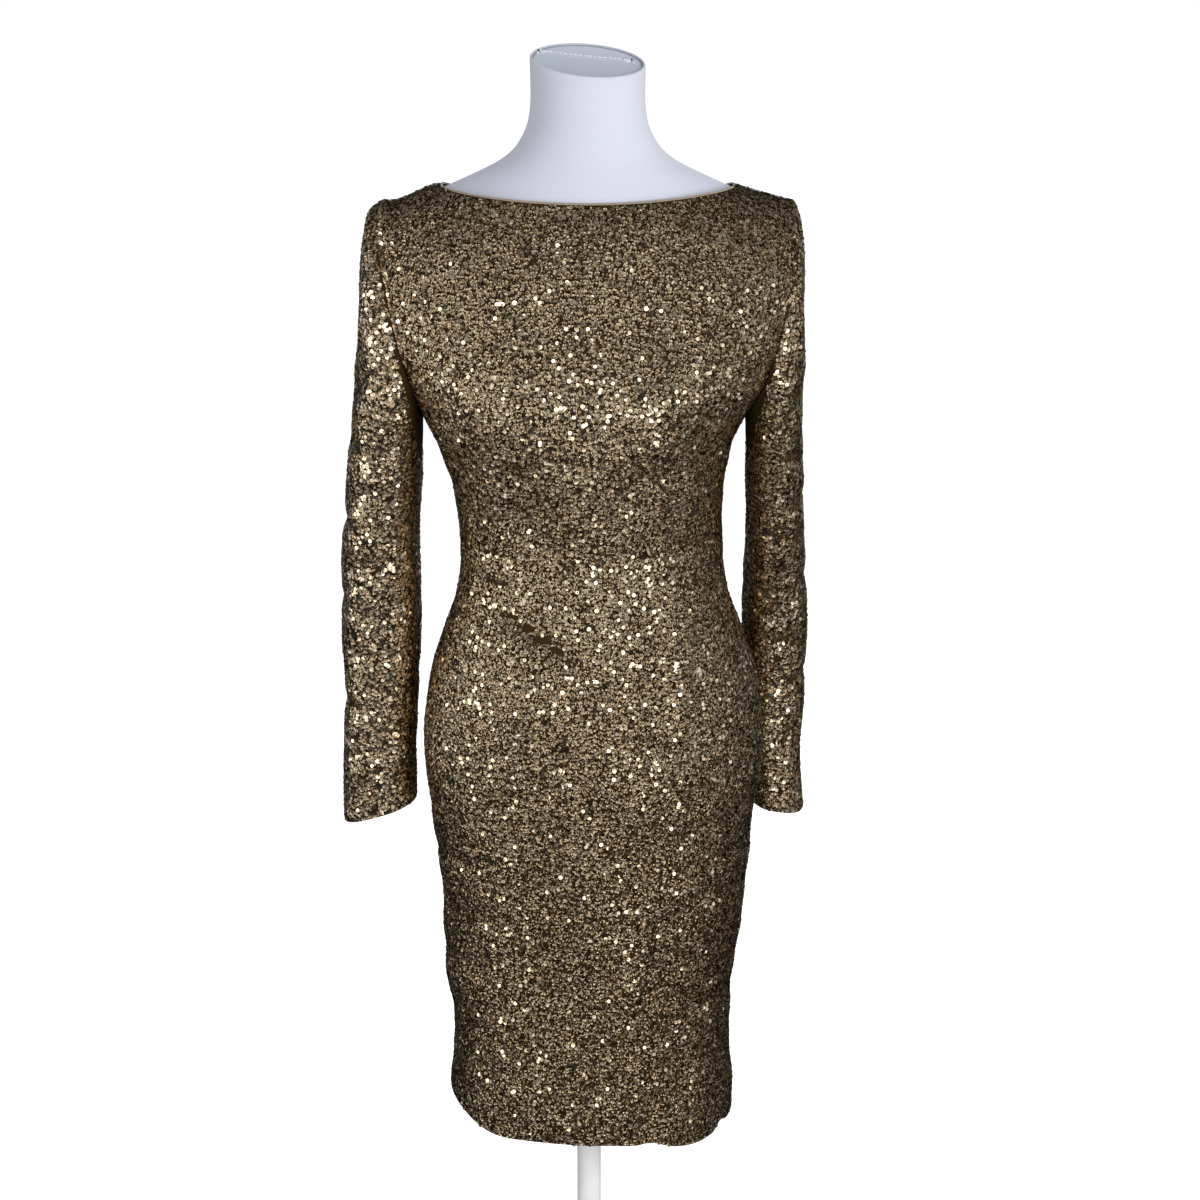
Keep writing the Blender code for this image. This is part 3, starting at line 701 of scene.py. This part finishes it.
BACK_FOLDS = table(FOLD_COLUMNS, [
    (-0.090, -0.350, 0.100, 5, 0.0070, -0.0024, 0.003),
    (-0.075, -0.374, 0.120, -4, 0.0075, -0.0026, -0.002),
    (0.070, -0.342, 0.120, -6, 0.0080, -0.0026, 0.003),
    (0.085, -0.368, 0.100, 4, 0.0070, -0.0022, -0.003),
    (0.000, -0.392, 0.140, 1, 0.0100, -0.0022, 0.004),
    (-0.050, -0.430, 0.090, 38, 0.0090, 0.0022, 0.003),
    (0.055, -0.432, 0.100, -40, 0.0090, 0.0022, 0.003),
    (-0.125, -0.160, 0.100, 35, 0.0090, -0.0026, 0.003),
    (0.125, -0.155, 0.095, -36, 0.0090, -0.0024, 0.003),
    (-0.055, -0.215, 0.110, 60, 0.0110, 0.0018, 0.004),
    (0.060, -0.225, 0.120, -58, 0.0110, 0.0018, 0.004),
    (-0.040, -0.600, 0.120, 12, 0.0140, -0.0020, 0.006),
    (0.050, -0.625, 0.130, -10, 0.0150, -0.0020, 0.006),
    (-0.060, -0.800, 0.240, 88, 0.0190, 0.0022, 0.006),
    (0.020, -0.780, 0.260, 93, 0.0200, -0.0020, 0.006),
    (0.085, -0.830, 0.220, 86, 0.0180, 0.0020, 0.005),
    (-0.132, -0.690, 0.100, -6, 0.0120, -0.0026, 0.003),
    (0.130, -0.740, 0.110, 5, 0.0130, -0.0024, 0.003),
])
PANEL_FOLDS = {"front": FRONT_FOLDS, "back": BACK_FOLDS}
SLACK_WAVES = (                        # wavelengths across and up, phase, height: slack all over the cloth
    (0.071, 0.093, 0.4, 0.00045),
    (0.049, 0.058, 1.9, 0.00030),
    (0.113, 0.041, 3.1, 0.00035),
)


def folds_at(folds, x, height):
    """Height of the folds: each adds depth (1 - t^2)^2 exp(-(off / width)^2), with t the share of its half
    length and off the distance from its bent line, and slack waves run through all of it."""
    raised = 0.0
    for fold in folds:
        lean = np.radians(fold["lean"])
        aside, above = x - fold["x"], height - fold["height"]
        t = np.clip(np.abs(aside * np.cos(lean) + above * np.sin(lean)) / (fold["length"] / 2), 0, 1)
        off = above * np.cos(lean) - aside * np.sin(lean) - fold["bow"] * (1 - t * t)
        raised = raised + fold["depth"] * (1 - t * t) ** 2 * np.exp(-(off / fold["width"]) ** 2)
    for wide, tall, phase, rise in SLACK_WAVES:
        raised = raised + rise * np.sin(2 * np.pi * x / wide + phase) * np.sin(
            2 * np.pi * height / tall + 2 * phase + x / wide)
    return raised


def armhole_reach(share):
    """Half width and height of the armhole's edge: share 0 at the underarm, 1 at the shoulder tip."""
    height = UNDERARM + (SHOULDER_TIP - UNDERARM) * share
    power = read(FIGURE, height, "squareness")
    bite = ARMHOLE_BITE * np.sqrt(np.sin(np.pi * np.clip(share, 0, 1)))
    tip = np.clip((share - 1 + TIP_FADE) / TIP_FADE, 0, 1)
    wide = read(FIGURE, height, "half_width") * (1 - tip) + TIP_REACH * tip
    reach = wide * np.cos(bite) ** (2 / power)
    return np.where(share > 0.5, np.minimum(reach, ARMHOLE_MOST), reach), height


def hem_line(ratio):
    """Rise of the hem at a share of the half width: a tilt, raised side seams, a dip between them, a slack
    scallop near the right and a pulled-up notch by the right seam."""
    line = (HEM_SIDE_RISE * ratio ** 4 - HEM_DIP * np.sin(np.pi * ratio ** 2) ** 2
            - HEM_TILT * np.sign(ratio) * np.abs(ratio) ** 1.6)
    for middle, reach, rise in HEM_BUMPS:
        line = line + rise * np.exp(-((ratio - middle) / reach) ** 2)
    return line


def panel_turn(across):
    """Angle round the body of a column: even over the shoulders, and closing in on the neckline's ends as
    a cosine does, so that its tight corners are smooth."""
    neck_end = np.arccos((NECK_END / TIP_REACH) ** (read(FIGURE, UNDERARM, "squareness") / 2))
    from_left = np.pi - neck_end * across / SHOULDER_SHARE
    inner = np.clip((across - SHOULDER_SHARE) / (1 - 2 * SHOULDER_SHARE), 0, 1)
    neckline = neck_end + (np.pi - 2 * neck_end) * (1 + np.cos(np.pi * inner)) / 2
    from_right = neck_end * (1 - across) / SHOULDER_SHARE
    return np.where(across < SHOULDER_SHARE, from_left,
                    np.where(across > 1 - SHOULDER_SHARE, from_right, neckline))


def panel(face, across, up, inside=SEQUIN_ROOM):
    """Places on a panel: across runs 0 to 1 from its left seam to its right one, up from hem to top.
    Below the underarm x = w(h) cos^(2/n); above it the armholes' reach takes the place of w."""
    turn = panel_turn(across)
    c = np.cos(turn)
    below = np.clip(up / SIDE_SHARE, 0, 1)
    above = (1 - np.cos(np.pi * np.clip((up - SIDE_SHARE) / (1 - SIDE_SHARE), 0, 1))) / 2
    middle = HEM + (UNDERARM - HEM) * below
    ratio = np.sign(c) * np.abs(c) ** (2 / read(FIGURE, middle, "squareness"))
    side_height = middle + hem_line(ratio) * (1 - below) ** 4
    top_x = ratio * TIP_REACH
    inner = np.clip(1 - np.abs(top_x / NECK_END) ** NECK_POWER[face], 0, 1)
    top = np.where(np.abs(top_x) < NECK_END, -NECK_DROP[face] * inner, shoulder_ridge(top_x))
    reach = armhole_reach(above)[0]
    high = up > SIDE_SHARE
    height = np.where(high, UNDERARM + (top - UNDERARM) * above, side_height)
    wide = np.where(high, reach, read(FIGURE, height, "half_width"))
    x = ratio * wide
    depth = cloth_depth(x, height, face) + SEAM_GAP
    toward = -1 if face == "front" else 1
    settle = np.clip((1 - above) * PANEL_SETTLE, 0, 1)
    lift = folds_at(PANEL_FOLDS[face], x, height) * settle - inside
    out = unit(np.stack([x / wide ** 2, toward * depth / BODY_DEPTH ** 2], axis=-1))
    flat = np.stack([x + read(FIGURE, height, "sway"), toward * depth], axis=-1) + out * lift[..., None]
    flat[..., 1] = toward * np.maximum(toward * flat[..., 1], SEAM_GAP)
    return np.concatenate([flat, height[..., None] + SHOULDER_LINE], axis=-1)


def grid_of(surface, rows, columns, closed=False):
    """A surface function's points on an even grid of its two parameters."""
    around, up = np.meshgrid(np.linspace(0, 1, columns, endpoint=not closed), np.linspace(0, 1, rows))
    return surface(around, up)


def mesh_cloth_finish():
    """Fine brown mesh cloth: two crossed sets of threads as bump, darker in the holes between them."""
    finish, shader, place = new_finish("Brown mesh cloth", {"Specular IOR Level": 0.2})
    warp = place.node("ShaderNodeTexWave", {"bands_direction": "X"}, {
        "Vector": place, "Scale": 260.0, "Distortion": 0.6})
    weft = place.node("ShaderNodeTexWave", {"bands_direction": "Z"}, {
        "Vector": place, "Scale": 260.0, "Distortion": 0.6})
    patchy = place.node("ShaderNodeTexNoise", sockets={"Vector": place, "Scale": 60.0, "Detail": 3.0})
    threads = warp.maths("MAXIMUM", warp, weft)
    feed(shader, "Base Color", (threads * 0.6 + patchy * 0.4).blend(MESH_DARK, MESH_BROWN))
    feed(shader, "Roughness", 0.55 + patchy * 0.3)
    emboss(shader, threads, 0.5, 0.0003)
    return finish


def add_cloth(name, points, around=False):
    """A piece of mesh cloth: the grid is its outside, and Solidify gives it its thickness inwards."""
    obj = put(name, grid_mesh(points, around), MESH_FINISH)
    wall = obj.modifiers.new("Cloth thickness", "SOLIDIFY")
    wall.thickness = MESH_CLOTH
    wall.offset = -1
    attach(obj, "root")
    return obj


MESH_FINISH = mesh_cloth_finish()
SURFACES = {                           # each part of the dress over two shares: across it, and up it
    "front": lambda across, up: panel("front", across, up),
    "back": lambda across, up: panel("back", 1 - across, up),
}
for face in ("front", "back"):
    points = grid_of(SURFACES[face], *PANEL_GRID)
    add_cloth(f"{face}_panel", points)
    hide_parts(f"dress_{face}")

# ------------------------------------------------------------------------------------------
# Sleeves: two long close tubes of the same mesh cloth, set into the armholes and hanging
# free. They crease round the elbow and above the wrist, the left one more than the right.
CUFF = {"left": -0.640, "right": -0.651}
CUFF_RISE = {"left": 0.30, "right": 0.15}
SLEEVE_FADE = 0.18                     # share of its length in which a sleeve leaves the armhole's outline
HEAD_FADE = {"left": 0.020, "right": 0.09}          # and the same at its head, on the shoulder
SLEEVE_CROWDING = 1.35                 # over 1 its rows lie closer together towards the armhole
SLEEVE_SETTLE = 12                     # its folds set in over the first 1 / 12 of its length
SLEEVE_GRID = (72, 40)
SLEEVE_SQUARENESS = 2.6                # 2 would make every section an ellipse
SLEEVE_COLUMNS = "height inner outer back half_depth"
SLEEVES = {
    "left": table(SLEEVE_COLUMNS, [
        (-0.660, 0.1765, 0.2520, 0.030, 0.036),
        (-0.600, 0.1770, 0.2520, 0.030, 0.039),
        (-0.520, 0.1740, 0.2480, 0.029, 0.044),
        (-0.440, 0.1690, 0.2490, 0.026, 0.049),
        (-0.350, 0.1690, 0.2455, 0.020, 0.054),
        (-0.290, 0.1650, 0.2395, 0.014, 0.058),
        (-0.230, 0.1610, 0.2325, 0.006, 0.062),
        (-0.150, 0.1520, 0.2243, 0.001, 0.064),
        (-0.110, 0.1500, 0.2215, 0.000, 0.063),
        (-0.054, 0.1500, 0.2175, 0.000, 0.058),
        (-0.030, 0.1500, 0.2130, 0.000, 0.052),
        (-0.0155, 0.1500, 0.2085, 0.000, 0.045),
    ]),
    "right": table(SLEEVE_COLUMNS, [
        (-0.670, 0.1720, 0.2260, 0.082, 0.042),
        (-0.600, 0.1640, 0.2210, 0.082, 0.042),
        (-0.520, 0.1600, 0.2240, 0.081, 0.043),
        (-0.440, 0.1575, 0.2240, 0.070, 0.047),
        (-0.350, 0.1590, 0.2170, 0.045, 0.054),
        (-0.290, 0.1570, 0.2140, 0.028, 0.059),
        (-0.230, 0.1555, 0.2105, 0.012, 0.063),
        (-0.150, 0.1520, 0.2110, 0.002, 0.065),
        (-0.110, 0.1500, 0.2090, 0.000, 0.064),
        (-0.054, 0.1500, 0.2080, 0.000, 0.058),
        (-0.030, 0.1500, 0.2050, 0.000, 0.052),
        (-0.0155, 0.1500, 0.2000, 0.000, 0.045),
    ]),
}
SLEEVE_FOLDS = {                       # x is the distance round from the outer line, towards the front
    "left": table(FOLD_COLUMNS, [
        (0.050, -0.190, 0.110, 14, 0.0090, -0.0034, 0.004),
        (0.040, -0.255, 0.120, -10, 0.0085, -0.0030, 0.004),
        (0.060, -0.300, 0.100, 12, 0.0080, -0.0036, 0.003),
        (0.020, -0.335, 0.130, -8, 0.0090, -0.0040, 0.004),
        (0.070, -0.375, 0.110, 9, 0.0085, -0.0034, 0.003),
        (0.030, -0.420, 0.120, -12, 0.0090, -0.0032, 0.004),
        (0.060, -0.470, 0.100, 7, 0.0090, -0.0030, 0.003),
        (0.030, -0.525, 0.120, -6, 0.0095, -0.0028, 0.003),
        (0.060, -0.575, 0.100, 8, 0.0080, -0.0026, 0.003),
        (0.045, -0.110, 0.120, 80, 0.0120, 0.0026, 0.003),
        (-0.070, -0.310, 0.120, 10, 0.0090, -0.0034, 0.004),
        (-0.080, -0.365, 0.110, -8, 0.0090, -0.0036, 0.004),
        (-0.075, -0.430, 0.120, 6, 0.0090, -0.0028, 0.003),
        (-0.070, -0.540, 0.110, -7, 0.0090, -0.0026, 0.003),
    ]),
    "right": table(FOLD_COLUMNS, [
        (0.045, -0.200, 0.100, -12, 0.0090, -0.0030, 0.004),
        (0.050, -0.268, 0.110, 8, 0.0080, -0.0030, 0.004),
        (0.040, -0.315, 0.120, -9, 0.0080, -0.0036, 0.003),
        (0.060, -0.352, 0.110, 7, 0.0085, -0.0036, 0.003),
        (0.030, -0.405, 0.120, -10, 0.0090, -0.0030, 0.004),
        (0.055, -0.470, 0.100, 12, 0.0085, -0.0034, 0.003),
        (0.030, -0.510, 0.110, -8, 0.0080, -0.0036, 0.003),
        (0.050, -0.580, 0.110, 6, 0.0090, -0.0026, 0.003),
        (0.050, -0.120, 0.120, 98, 0.0120, 0.0024, 0.003),
        (-0.070, -0.300, 0.120, -10, 0.0090, -0.0036, 0.004),
        (-0.075, -0.350, 0.110, 8, 0.0090, -0.0034, 0.004),
        (-0.080, -0.445, 0.120, -6, 0.0090, -0.0028, 0.003),
        (-0.070, -0.560, 0.100, 9, 0.0090, -0.0026, 0.003),
    ]),
}


def sleeve(side, around, along, inside=SEQUIN_ROOM):
    """Places on a sleeve: around runs once from its outer line over the front, along from armhole to cuff.
    Each section is a squarish ellipse, and the first ones blend into the armhole's own outline."""
    outward = -1 if side == "left" else 1
    turn = 2 * np.pi * around
    share = (1 + np.cos(turn)) / 2
    reach, start = armhole_reach(share)
    front, back = (cloth_depth(reach, start, face) for face in ("front", "back"))
    edge_y = np.where(np.sin(turn) > 0, -front, back) * np.clip(np.abs(np.sin(turn)) * 1e6, 0, 1)
    edge_x = reach + outward * read(FIGURE, start, "sway") + 4 * SEAM_GAP
    sections = SLEEVES[side]

    def squared(c):
        """A cosine or sine pushed out to a squarish ellipse: |c|^(2/n), with its sign."""
        return np.sign(c) * np.abs(c) ** (2 / SLEEVE_SQUARENESS)

    def section(height):
        """How far out and how deep the section at a height lies: its middle, and its half sizes times
        the squared cosine and sine."""
        inner, outer = read(sections, height, "inner"), read(sections, height, "outer")
        x = (inner + outer) / 2 + (outer - inner) / 2 * squared(np.cos(turn))
        y = read(sections, height, "back") - read(sections, height, "half_depth") * squared(np.sin(turn))
        return x, y

    middle = (read(sections, CUFF[side], "inner") + read(sections, CUFF[side], "outer")) / 2
    end = CUFF[side] - CUFF_RISE[side] * (section(CUFF[side])[0] - middle)
    down = along ** SLEEVE_CROWDING
    height = start + (end - start) * down
    fade_length = SLEEVE_FADE + (HEAD_FADE[side] - SLEEVE_FADE) * share ** 4
    fade = np.clip(1 - down / fade_length, 0, 1) ** 2
    x, y = section(height)
    start_x, start_y = section(start)
    girth = read(sections, height, "half_depth") * np.where(turn > np.pi, turn - 2 * np.pi, turn)
    settle = np.clip(down * SLEEVE_SETTLE, 0, 1)
    lift = folds_at(SLEEVE_FOLDS[side], girth, height) * settle - inside
    x = x + fade * (edge_x - start_x) + lift * np.cos(turn)
    y = y + fade * (edge_y - start_y) - lift * np.sin(turn)
    return np.stack([outward * x, y, height + SHOULDER_LINE], axis=-1)


SURFACES["left"] = lambda around, up: sleeve("left", around, 1 - up)
SURFACES["right"] = lambda around, up: sleeve("right", 1 - around, 1 - up)
for side in ("left", "right"):
    points = grid_of(SURFACES[side], *SLEEVE_GRID, closed=True)
    add_cloth(f"{side}_sleeve", points, around=True)
    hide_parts(f"sleeve_{side}")

# ------------------------------------------------------------------------------------------
# Turned edges: the cloth is folded under and stitched along the neckline, which shows as a
# narrow taupe strip without sequins, and as a darker roll at the hem and the cuffs.
EDGE_WIDTH = 0.0013
EDGE_THICK = 0.0009
EDGE_SIDES = 8
EDGE_POINT = 0.02                      # size of its drawn-in ends
EDGE_INSIDE = SEQUIN_ROOM + MESH_CLOTH / 2    # its middle runs along the middle of the cloth
EDGE_STEP = 0.004                      # share of the cloth's length over which its direction is taken
TAUPE_LIGHT = (0.36, 0.30, 0.24, 1)
TAUPE_SHADE = (0.24, 0.19, 0.14, 1)


def edge_finish(name, light, shade):
    """Folded cloth with fine slanting stitches across it."""
    finish, shader, place = new_finish(name, {"Roughness": 0.65, "Sheen Weight": 0.3})
    stitches = place.node("ShaderNodeTexWave", {"bands_direction": "DIAGONAL"}, {
        "Vector": place, "Scale": 180.0, "Distortion": 1.0})
    patchy = place.node("ShaderNodeTexNoise", sockets={"Vector": place, "Scale": 140.0})
    feed(shader, "Base Color", (stitches * 0.5 + patchy * 0.5).blend(shade, light))
    emboss(shader, stitches, 0.6, 0.0004)
    return finish


def rolled_edge(name, surface, part, along, end, closed, finish):
    """A flattened roll along one end (0 or 1) of a panel or sleeve: at each point an ellipse, wide along
    the cloth (inward) and thin through it. It is joined round a cuff, and elsewhere its ends are points."""
    path = surface(part, along, np.full(len(along), float(end)), EDGE_INSIDE)
    inner = surface(part, along, np.full(len(along), abs(end - EDGE_STEP)), EDGE_INSIDE)
    inward = unit(inner - path)
    path = path + inward * EDGE_WIDTH * 0.5
    size = np.ones((len(path), 1, 1))
    if closed:
        run = np.roll(path, -1, axis=0) - np.roll(path, 1, axis=0)
    else:
        run = np.gradient(path, axis=0)
        size[[0, -1]] = EDGE_POINT
    through = unit(np.cross(run, inward))
    inward = unit(np.cross(through, run))
    turn = np.linspace(0, 2 * np.pi, EDGE_SIDES, endpoint=False)[:, None]
    ring = EDGE_WIDTH * np.cos(turn) * inward[:, None] + EDGE_THICK * np.sin(turn) * through[:, None]
    grid = path[:, None] + ring * size
    if closed:
        grid = np.concatenate([grid, grid[:1]], axis=0)
    obj = weld(put(name, grid_mesh(grid, around=True), finish))
    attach(obj, "root")
    return obj


NECK_FINISH = edge_finish("Taupe neckline fold", TAUPE_LIGHT, TAUPE_SHADE)
HEM_FINISH = edge_finish("Brown hem fold", MESH_BROWN, MESH_DARK)
NECKLINE = np.linspace(SHOULDER_SHARE, 1 - SHOULDER_SHARE, 260)
HEMLINE = np.linspace(0, 1, 260)
CUFF_LINE = np.linspace(0, 1, 120, endpoint=False)
for face in ("front", "back"):
    rolled_edge(f"{face}_neckline_fold", panel, face, NECKLINE, 1, False, NECK_FINISH)
    rolled_edge(f"{face}_hem_fold", panel, face, HEMLINE, 0, False, HEM_FINISH)
for side in ("left", "right"):
    rolled_edge(f"{side}_cuff_fold", sleeve, side, CUFF_LINE, 1, True, HEM_FINISH)

# ------------------------------------------------------------------------------------------
# Sequins: round foil discs with a hole in the middle, sewn in close staggered rows so that they
# overlap, over all of the cloth but strips at the armholes, left without sequins so that the dark
# cloth there is painted shade of the creases. Each sits at its own small tilt: polished ones mirror
# the lamps, and pale, old gold, bronze and dark ones stay dull. The mix is painted light and shade:
# the dull foils paler and polished discs more at the bust band and on the sleeves, most on the
# left one, and the foils darker and polished discs fewer down the skirt.
SEQUIN_RADIUS = 0.00205
HOLE_RADIUS = 0.00055
STITCH_PITCH = 0.00350
ROW_PITCH = 0.00345
SEWN_UNEVEN = 0.00070                  # spread of each disc's place
SEQUIN_TILT = np.radians(5.0)          # spread of each disc's tilt, each way
LOOSE_SHARE = 0.20                     # share of discs that hang looser
LOOSE_TILT = 2.4                       # and how many times as far those tilt
MOST_TILT = 2.4                        # the furthest tilt, in spreads
SEQUIN_LIFT = 0.00040
SEQUIN_STACK = 0.00050                 # how far discs ride up over each other
SEQUIN_SIZES = 0.04                    # spread of their sizes
FEEL_STEP = 0.0015                     # share of a surface over which its slope is taken
FOILS = (                              # name, parts of the dull foils, colour
    ("Polished gold foil", 0, (0.92, 0.78, 0.56, 1)),
    ("Pale gold foil", 43, (0.98, 0.78, 0.53, 1)),
    ("Old gold foil", 7, (0.50, 0.370, 0.200, 1)),
    ("Bronze foil", 5, (0.20, 0.130, 0.045, 1)),
    ("Dark bronze foil", 29, (0.040, 0.020, 0.003, 1)),
)
FOIL_SKIN = {"Metallic": 1.0, "Coat Weight": 0.10, "Coat Roughness": 0.12}
POLISHED_ROUGHNESS, DULL_ROUGHNESS = 0.07, 0.42
POLISHED_DISH, DULL_DISH = 0.00002, 0.00030    # how far a disc's middle is pressed in
BODY_PAINTED_LIGHT_MIX = table("height pale polished", [    # painted light and shade by height: over 1 more of the dull foils are pale, under 1 dark; and the share of polished discs, which glint
    (0.56, 0.62, 0.12),
    (0.80, 0.96, 0.16),
    (0.95, 1.00, 0.17),
    (1.02, 1.30, 0.18),
    (1.07, 1.40, 0.28),
    (1.13, 1.00, 0.13),
])
# the sleeves' mix, painted light: paler dull foils and more polished discs, most on the left sleeve
SLEEVE_PAINTED_LIGHT_MIX = {"left": (1.60, 0.36), "right": (1.45, 0.27)}
ARMHOLE_PAINTED_SHADE_START = 0.02              # a panel's strip without sequins, whose dark cloth is painted shade of the armhole crease, starts at this share of its armholes' height,
ARMHOLE_PAINTED_SHADE_END = 0.50                # ends at this one,
ARMHOLE_PAINTED_SHADE_WIDE = 0.008              # and takes this share of its columns
SLEEVE_PAINTED_SHADE = 0.33                     # how far round from its inner line a sleeve has no sequins at the armhole, as painted shade of the crease
SLEEVE_PAINTED_SHADE_DEEP = 0.23                # and how far down it, as shares of its girth and its length
SKIRT_SHARE = SIDE_SHARE * 0.56        # a panel's rows up to here are its skirt
FINE_GRID = (420, 260)                 # rows, columns that the sewing lines are measured on
BODY_TRIM = {"start": 0.0022, "end": 0.0032, "side": 0.0015}    # cloth left free along the edges
SLEEVE_TRIM = {"start": 0.0025, "end": 0.0020, "side": 0.0}


def sewn_places(surface, trim):
    """Places in a surface's two parameters: rows a row pitch apart up every column of the cloth, stitches
    a pitch apart along each row, and every other row moved half a pitch. trim leaves the edges free."""
    rows, columns = FINE_GRID
    across, up = np.meshgrid(np.linspace(0, 1, columns), np.linspace(0, 1, rows))
    climb = np.linalg.norm(np.diff(surface(across, up), axis=0), axis=-1)
    climb = np.concatenate([np.zeros((1, columns)), np.cumsum(climb, axis=0)])
    levels = np.arange(trim["start"], climb.max(), ROW_PITCH)
    lines = np.stack([
        np.interp(levels, climb[:, i], up[:, i], right=np.nan) for i in range(columns)], axis=1)
    ends = np.array([np.interp(climb[-1, i] - trim["end"], climb[:, i], up[:, i]) for i in range(columns)])
    places = []
    for number, line in enumerate(lines):
        known = np.nan_to_num(line, nan=1.0)
        steps = np.linalg.norm(np.diff(surface(across[0], known), axis=0), axis=-1)
        run = np.concatenate([[0], np.cumsum(steps)])
        stitches = np.arange(trim["side"] + (number % 2) * STITCH_PITCH / 2, run[-1] - trim["side"],
                             STITCH_PITCH)
        at = np.interp(stitches, run, across[0])
        height = np.interp(at, across[0], known)
        sewn = height < np.interp(at, across[0], ends)
        places.append(np.stack([at[sewn], height[sewn]], axis=1))
    return np.concatenate(places)


def sequin_discs(surface, places, seed):
    """Centres, tangents and normals of the discs: normals come from small steps on the surface, tilted by
    a random amount, and every disc is turned by a random angle in its own plane."""
    chance = np.random.default_rng(seed)
    at, up = places.T
    right = surface(np.clip(at + FEEL_STEP, 0, 1), up) - surface(np.clip(at - FEEL_STEP, 0, 1), up)
    rise = surface(at, np.clip(up + FEEL_STEP, 0, 1)) - surface(at, np.clip(up - FEEL_STEP, 0, 1))
    normal = unit(np.cross(right, rise))
    right = unit(right)
    rise = np.cross(normal, right)
    loose = chance.normal(0, SEWN_UNEVEN, (2, len(at), 1))
    centre = surface(at, up) + loose[0] * right + loose[1] * rise
    tilt = np.clip(chance.normal(0, 1, (2, len(at), 1)), -MOST_TILT, MOST_TILT) * SEQUIN_TILT
    tilt = tilt * np.where(chance.random((1, len(at), 1)) < LOOSE_SHARE, LOOSE_TILT, 1)
    leaning = unit(normal + tilt[0] * right + tilt[1] * rise)
    centre = centre + normal * (SEQUIN_LIFT + chance.uniform(0, SEQUIN_STACK, (len(at), 1)))
    spin = chance.uniform(0, 2 * np.pi, (len(at), 1))
    side = np.cos(spin) * right + np.sin(spin) * rise
    side = unit(side - leaning * np.sum(side * leaning, axis=1, keepdims=True))
    return centre, side, np.cross(leaning, side), leaning, chance


def painted_light_foil_mix(part, height):
    """How pale the dull foils are and how many discs are polished, at a height on a part: painted light and
    shade.
    """
    if part in SLEEVE_PAINTED_LIGHT_MIX:
        return (np.full(len(height), value) for value in SLEEVE_PAINTED_LIGHT_MIX[part])
    return (np.interp(height, BODY_PAINTED_LIGHT_MIX["height"], BODY_PAINTED_LIGHT_MIX[column]) for column in ("pale", "polished"))


def sequin_piece(name, part, places, seed):
    """One mesh of discs: each is a ring of six rim points round three hole points, x = r cos a, y = r sin a,
    with the hole a little lower. Some discs are polished, and each face of the others has a dull foil."""
    centre, side, other, normal, chance = sequin_discs(SURFACES[part], places, seed)
    count = len(centre)
    turn = np.concatenate([np.arange(6) * np.pi / 3, np.arange(3) * np.pi / 1.5])
    radius = np.repeat([SEQUIN_RADIUS, HOLE_RADIUS], [6, 3])
    flat_x, flat_y = radius * np.cos(turn), radius * np.sin(turn)
    parts = [share for foil, share, colour in FOILS]
    # the paleness and the polished share by place are painted light and shade
    foil_paleness_painted, polished_share_painted = painted_light_foil_mix(part, centre[:, 2])
    polished = chance.random(count) < polished_share_painted
    bounds = np.cumsum(parts[:-1]) / sum(parts)
    dull = np.searchsorted(bounds, chance.random((count, 9)) ** foil_paleness_painted[:, None])
    foil = np.where(polished[:, None], 0, dull)
    dish = np.where(polished, POLISHED_DISH, DULL_DISH)[:, None] * np.repeat([0.0, -1.0], [6, 3])
    size = chance.normal(1, SEQUIN_SIZES, (count, 1, 1))
    points = (centre[:, None] + size * flat_x[:, None] * side[:, None]
              + size * flat_y[:, None] * other[:, None] + dish[..., None] * normal[:, None])
    k = np.arange(3)
    here, after = 6 + k, 6 + (k + 1) % 3
    a, b, c = 2 * k, 2 * k + 1, (2 * k + 2) % 6
    disc = np.concatenate([np.stack(t, axis=1) for t in ((a, b, here), (b, after, here), (b, c, after))])
    mesh = mesh_of(points, disc + 9 * np.arange(count)[:, None, None])
    obj = put(name, mesh, *FOIL_FINISHES)
    mesh.polygons.foreach_set("material_index", foil.ravel().astype(np.int32))
    mesh.shade_flat()
    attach(obj, "root")
    return obj


FOIL_FINISHES = [
    plain_finish(foil, {"Base Color": colour, **FOIL_SKIN,
                        "Roughness": DULL_ROUGHNESS if share else POLISHED_ROUGHNESS})
    for foil, share, colour in FOILS]
for number, part in enumerate(SURFACES):
    places = sewn_places(SURFACES[part], SLEEVE_TRIM if part in SLEEVES else BODY_TRIM)
    across, up = places.T
    if part in SLEEVES:
        # sequins left off at the armhole, so the dark cloth paints the crease's shade
        deep = SLEEVE_PAINTED_SHADE_DEEP * np.clip(1 - np.abs(across - 0.5) / SLEEVE_PAINTED_SHADE, 0, 1)
        groups = {f"{part}_sleeve_sequins": places[1 - up > deep]}
    else:
        # sequins left off at the armholes, so the dark cloth paints the creases' shade
        from_edge = np.minimum(across, 1 - across)
        rise = (up - SIDE_SHARE) / (1 - SIDE_SHARE)
        painted_shade_strip = ((rise > ARMHOLE_PAINTED_SHADE_START) & (rise < ARMHOLE_PAINTED_SHADE_END)
                & (from_edge < ARMHOLE_PAINTED_SHADE_WIDE))
        low = up < SKIRT_SHARE
        groups = {f"{part}_skirt_sequins": places[~painted_shade_strip & low],
                  f"{part}_bodice_sequins": places[~painted_shade_strip & ~low]}
    [sequin_piece(name, part, sewn, 10 * number + seed)
                  for seed, (name, sewn) in enumerate(groups.items())]
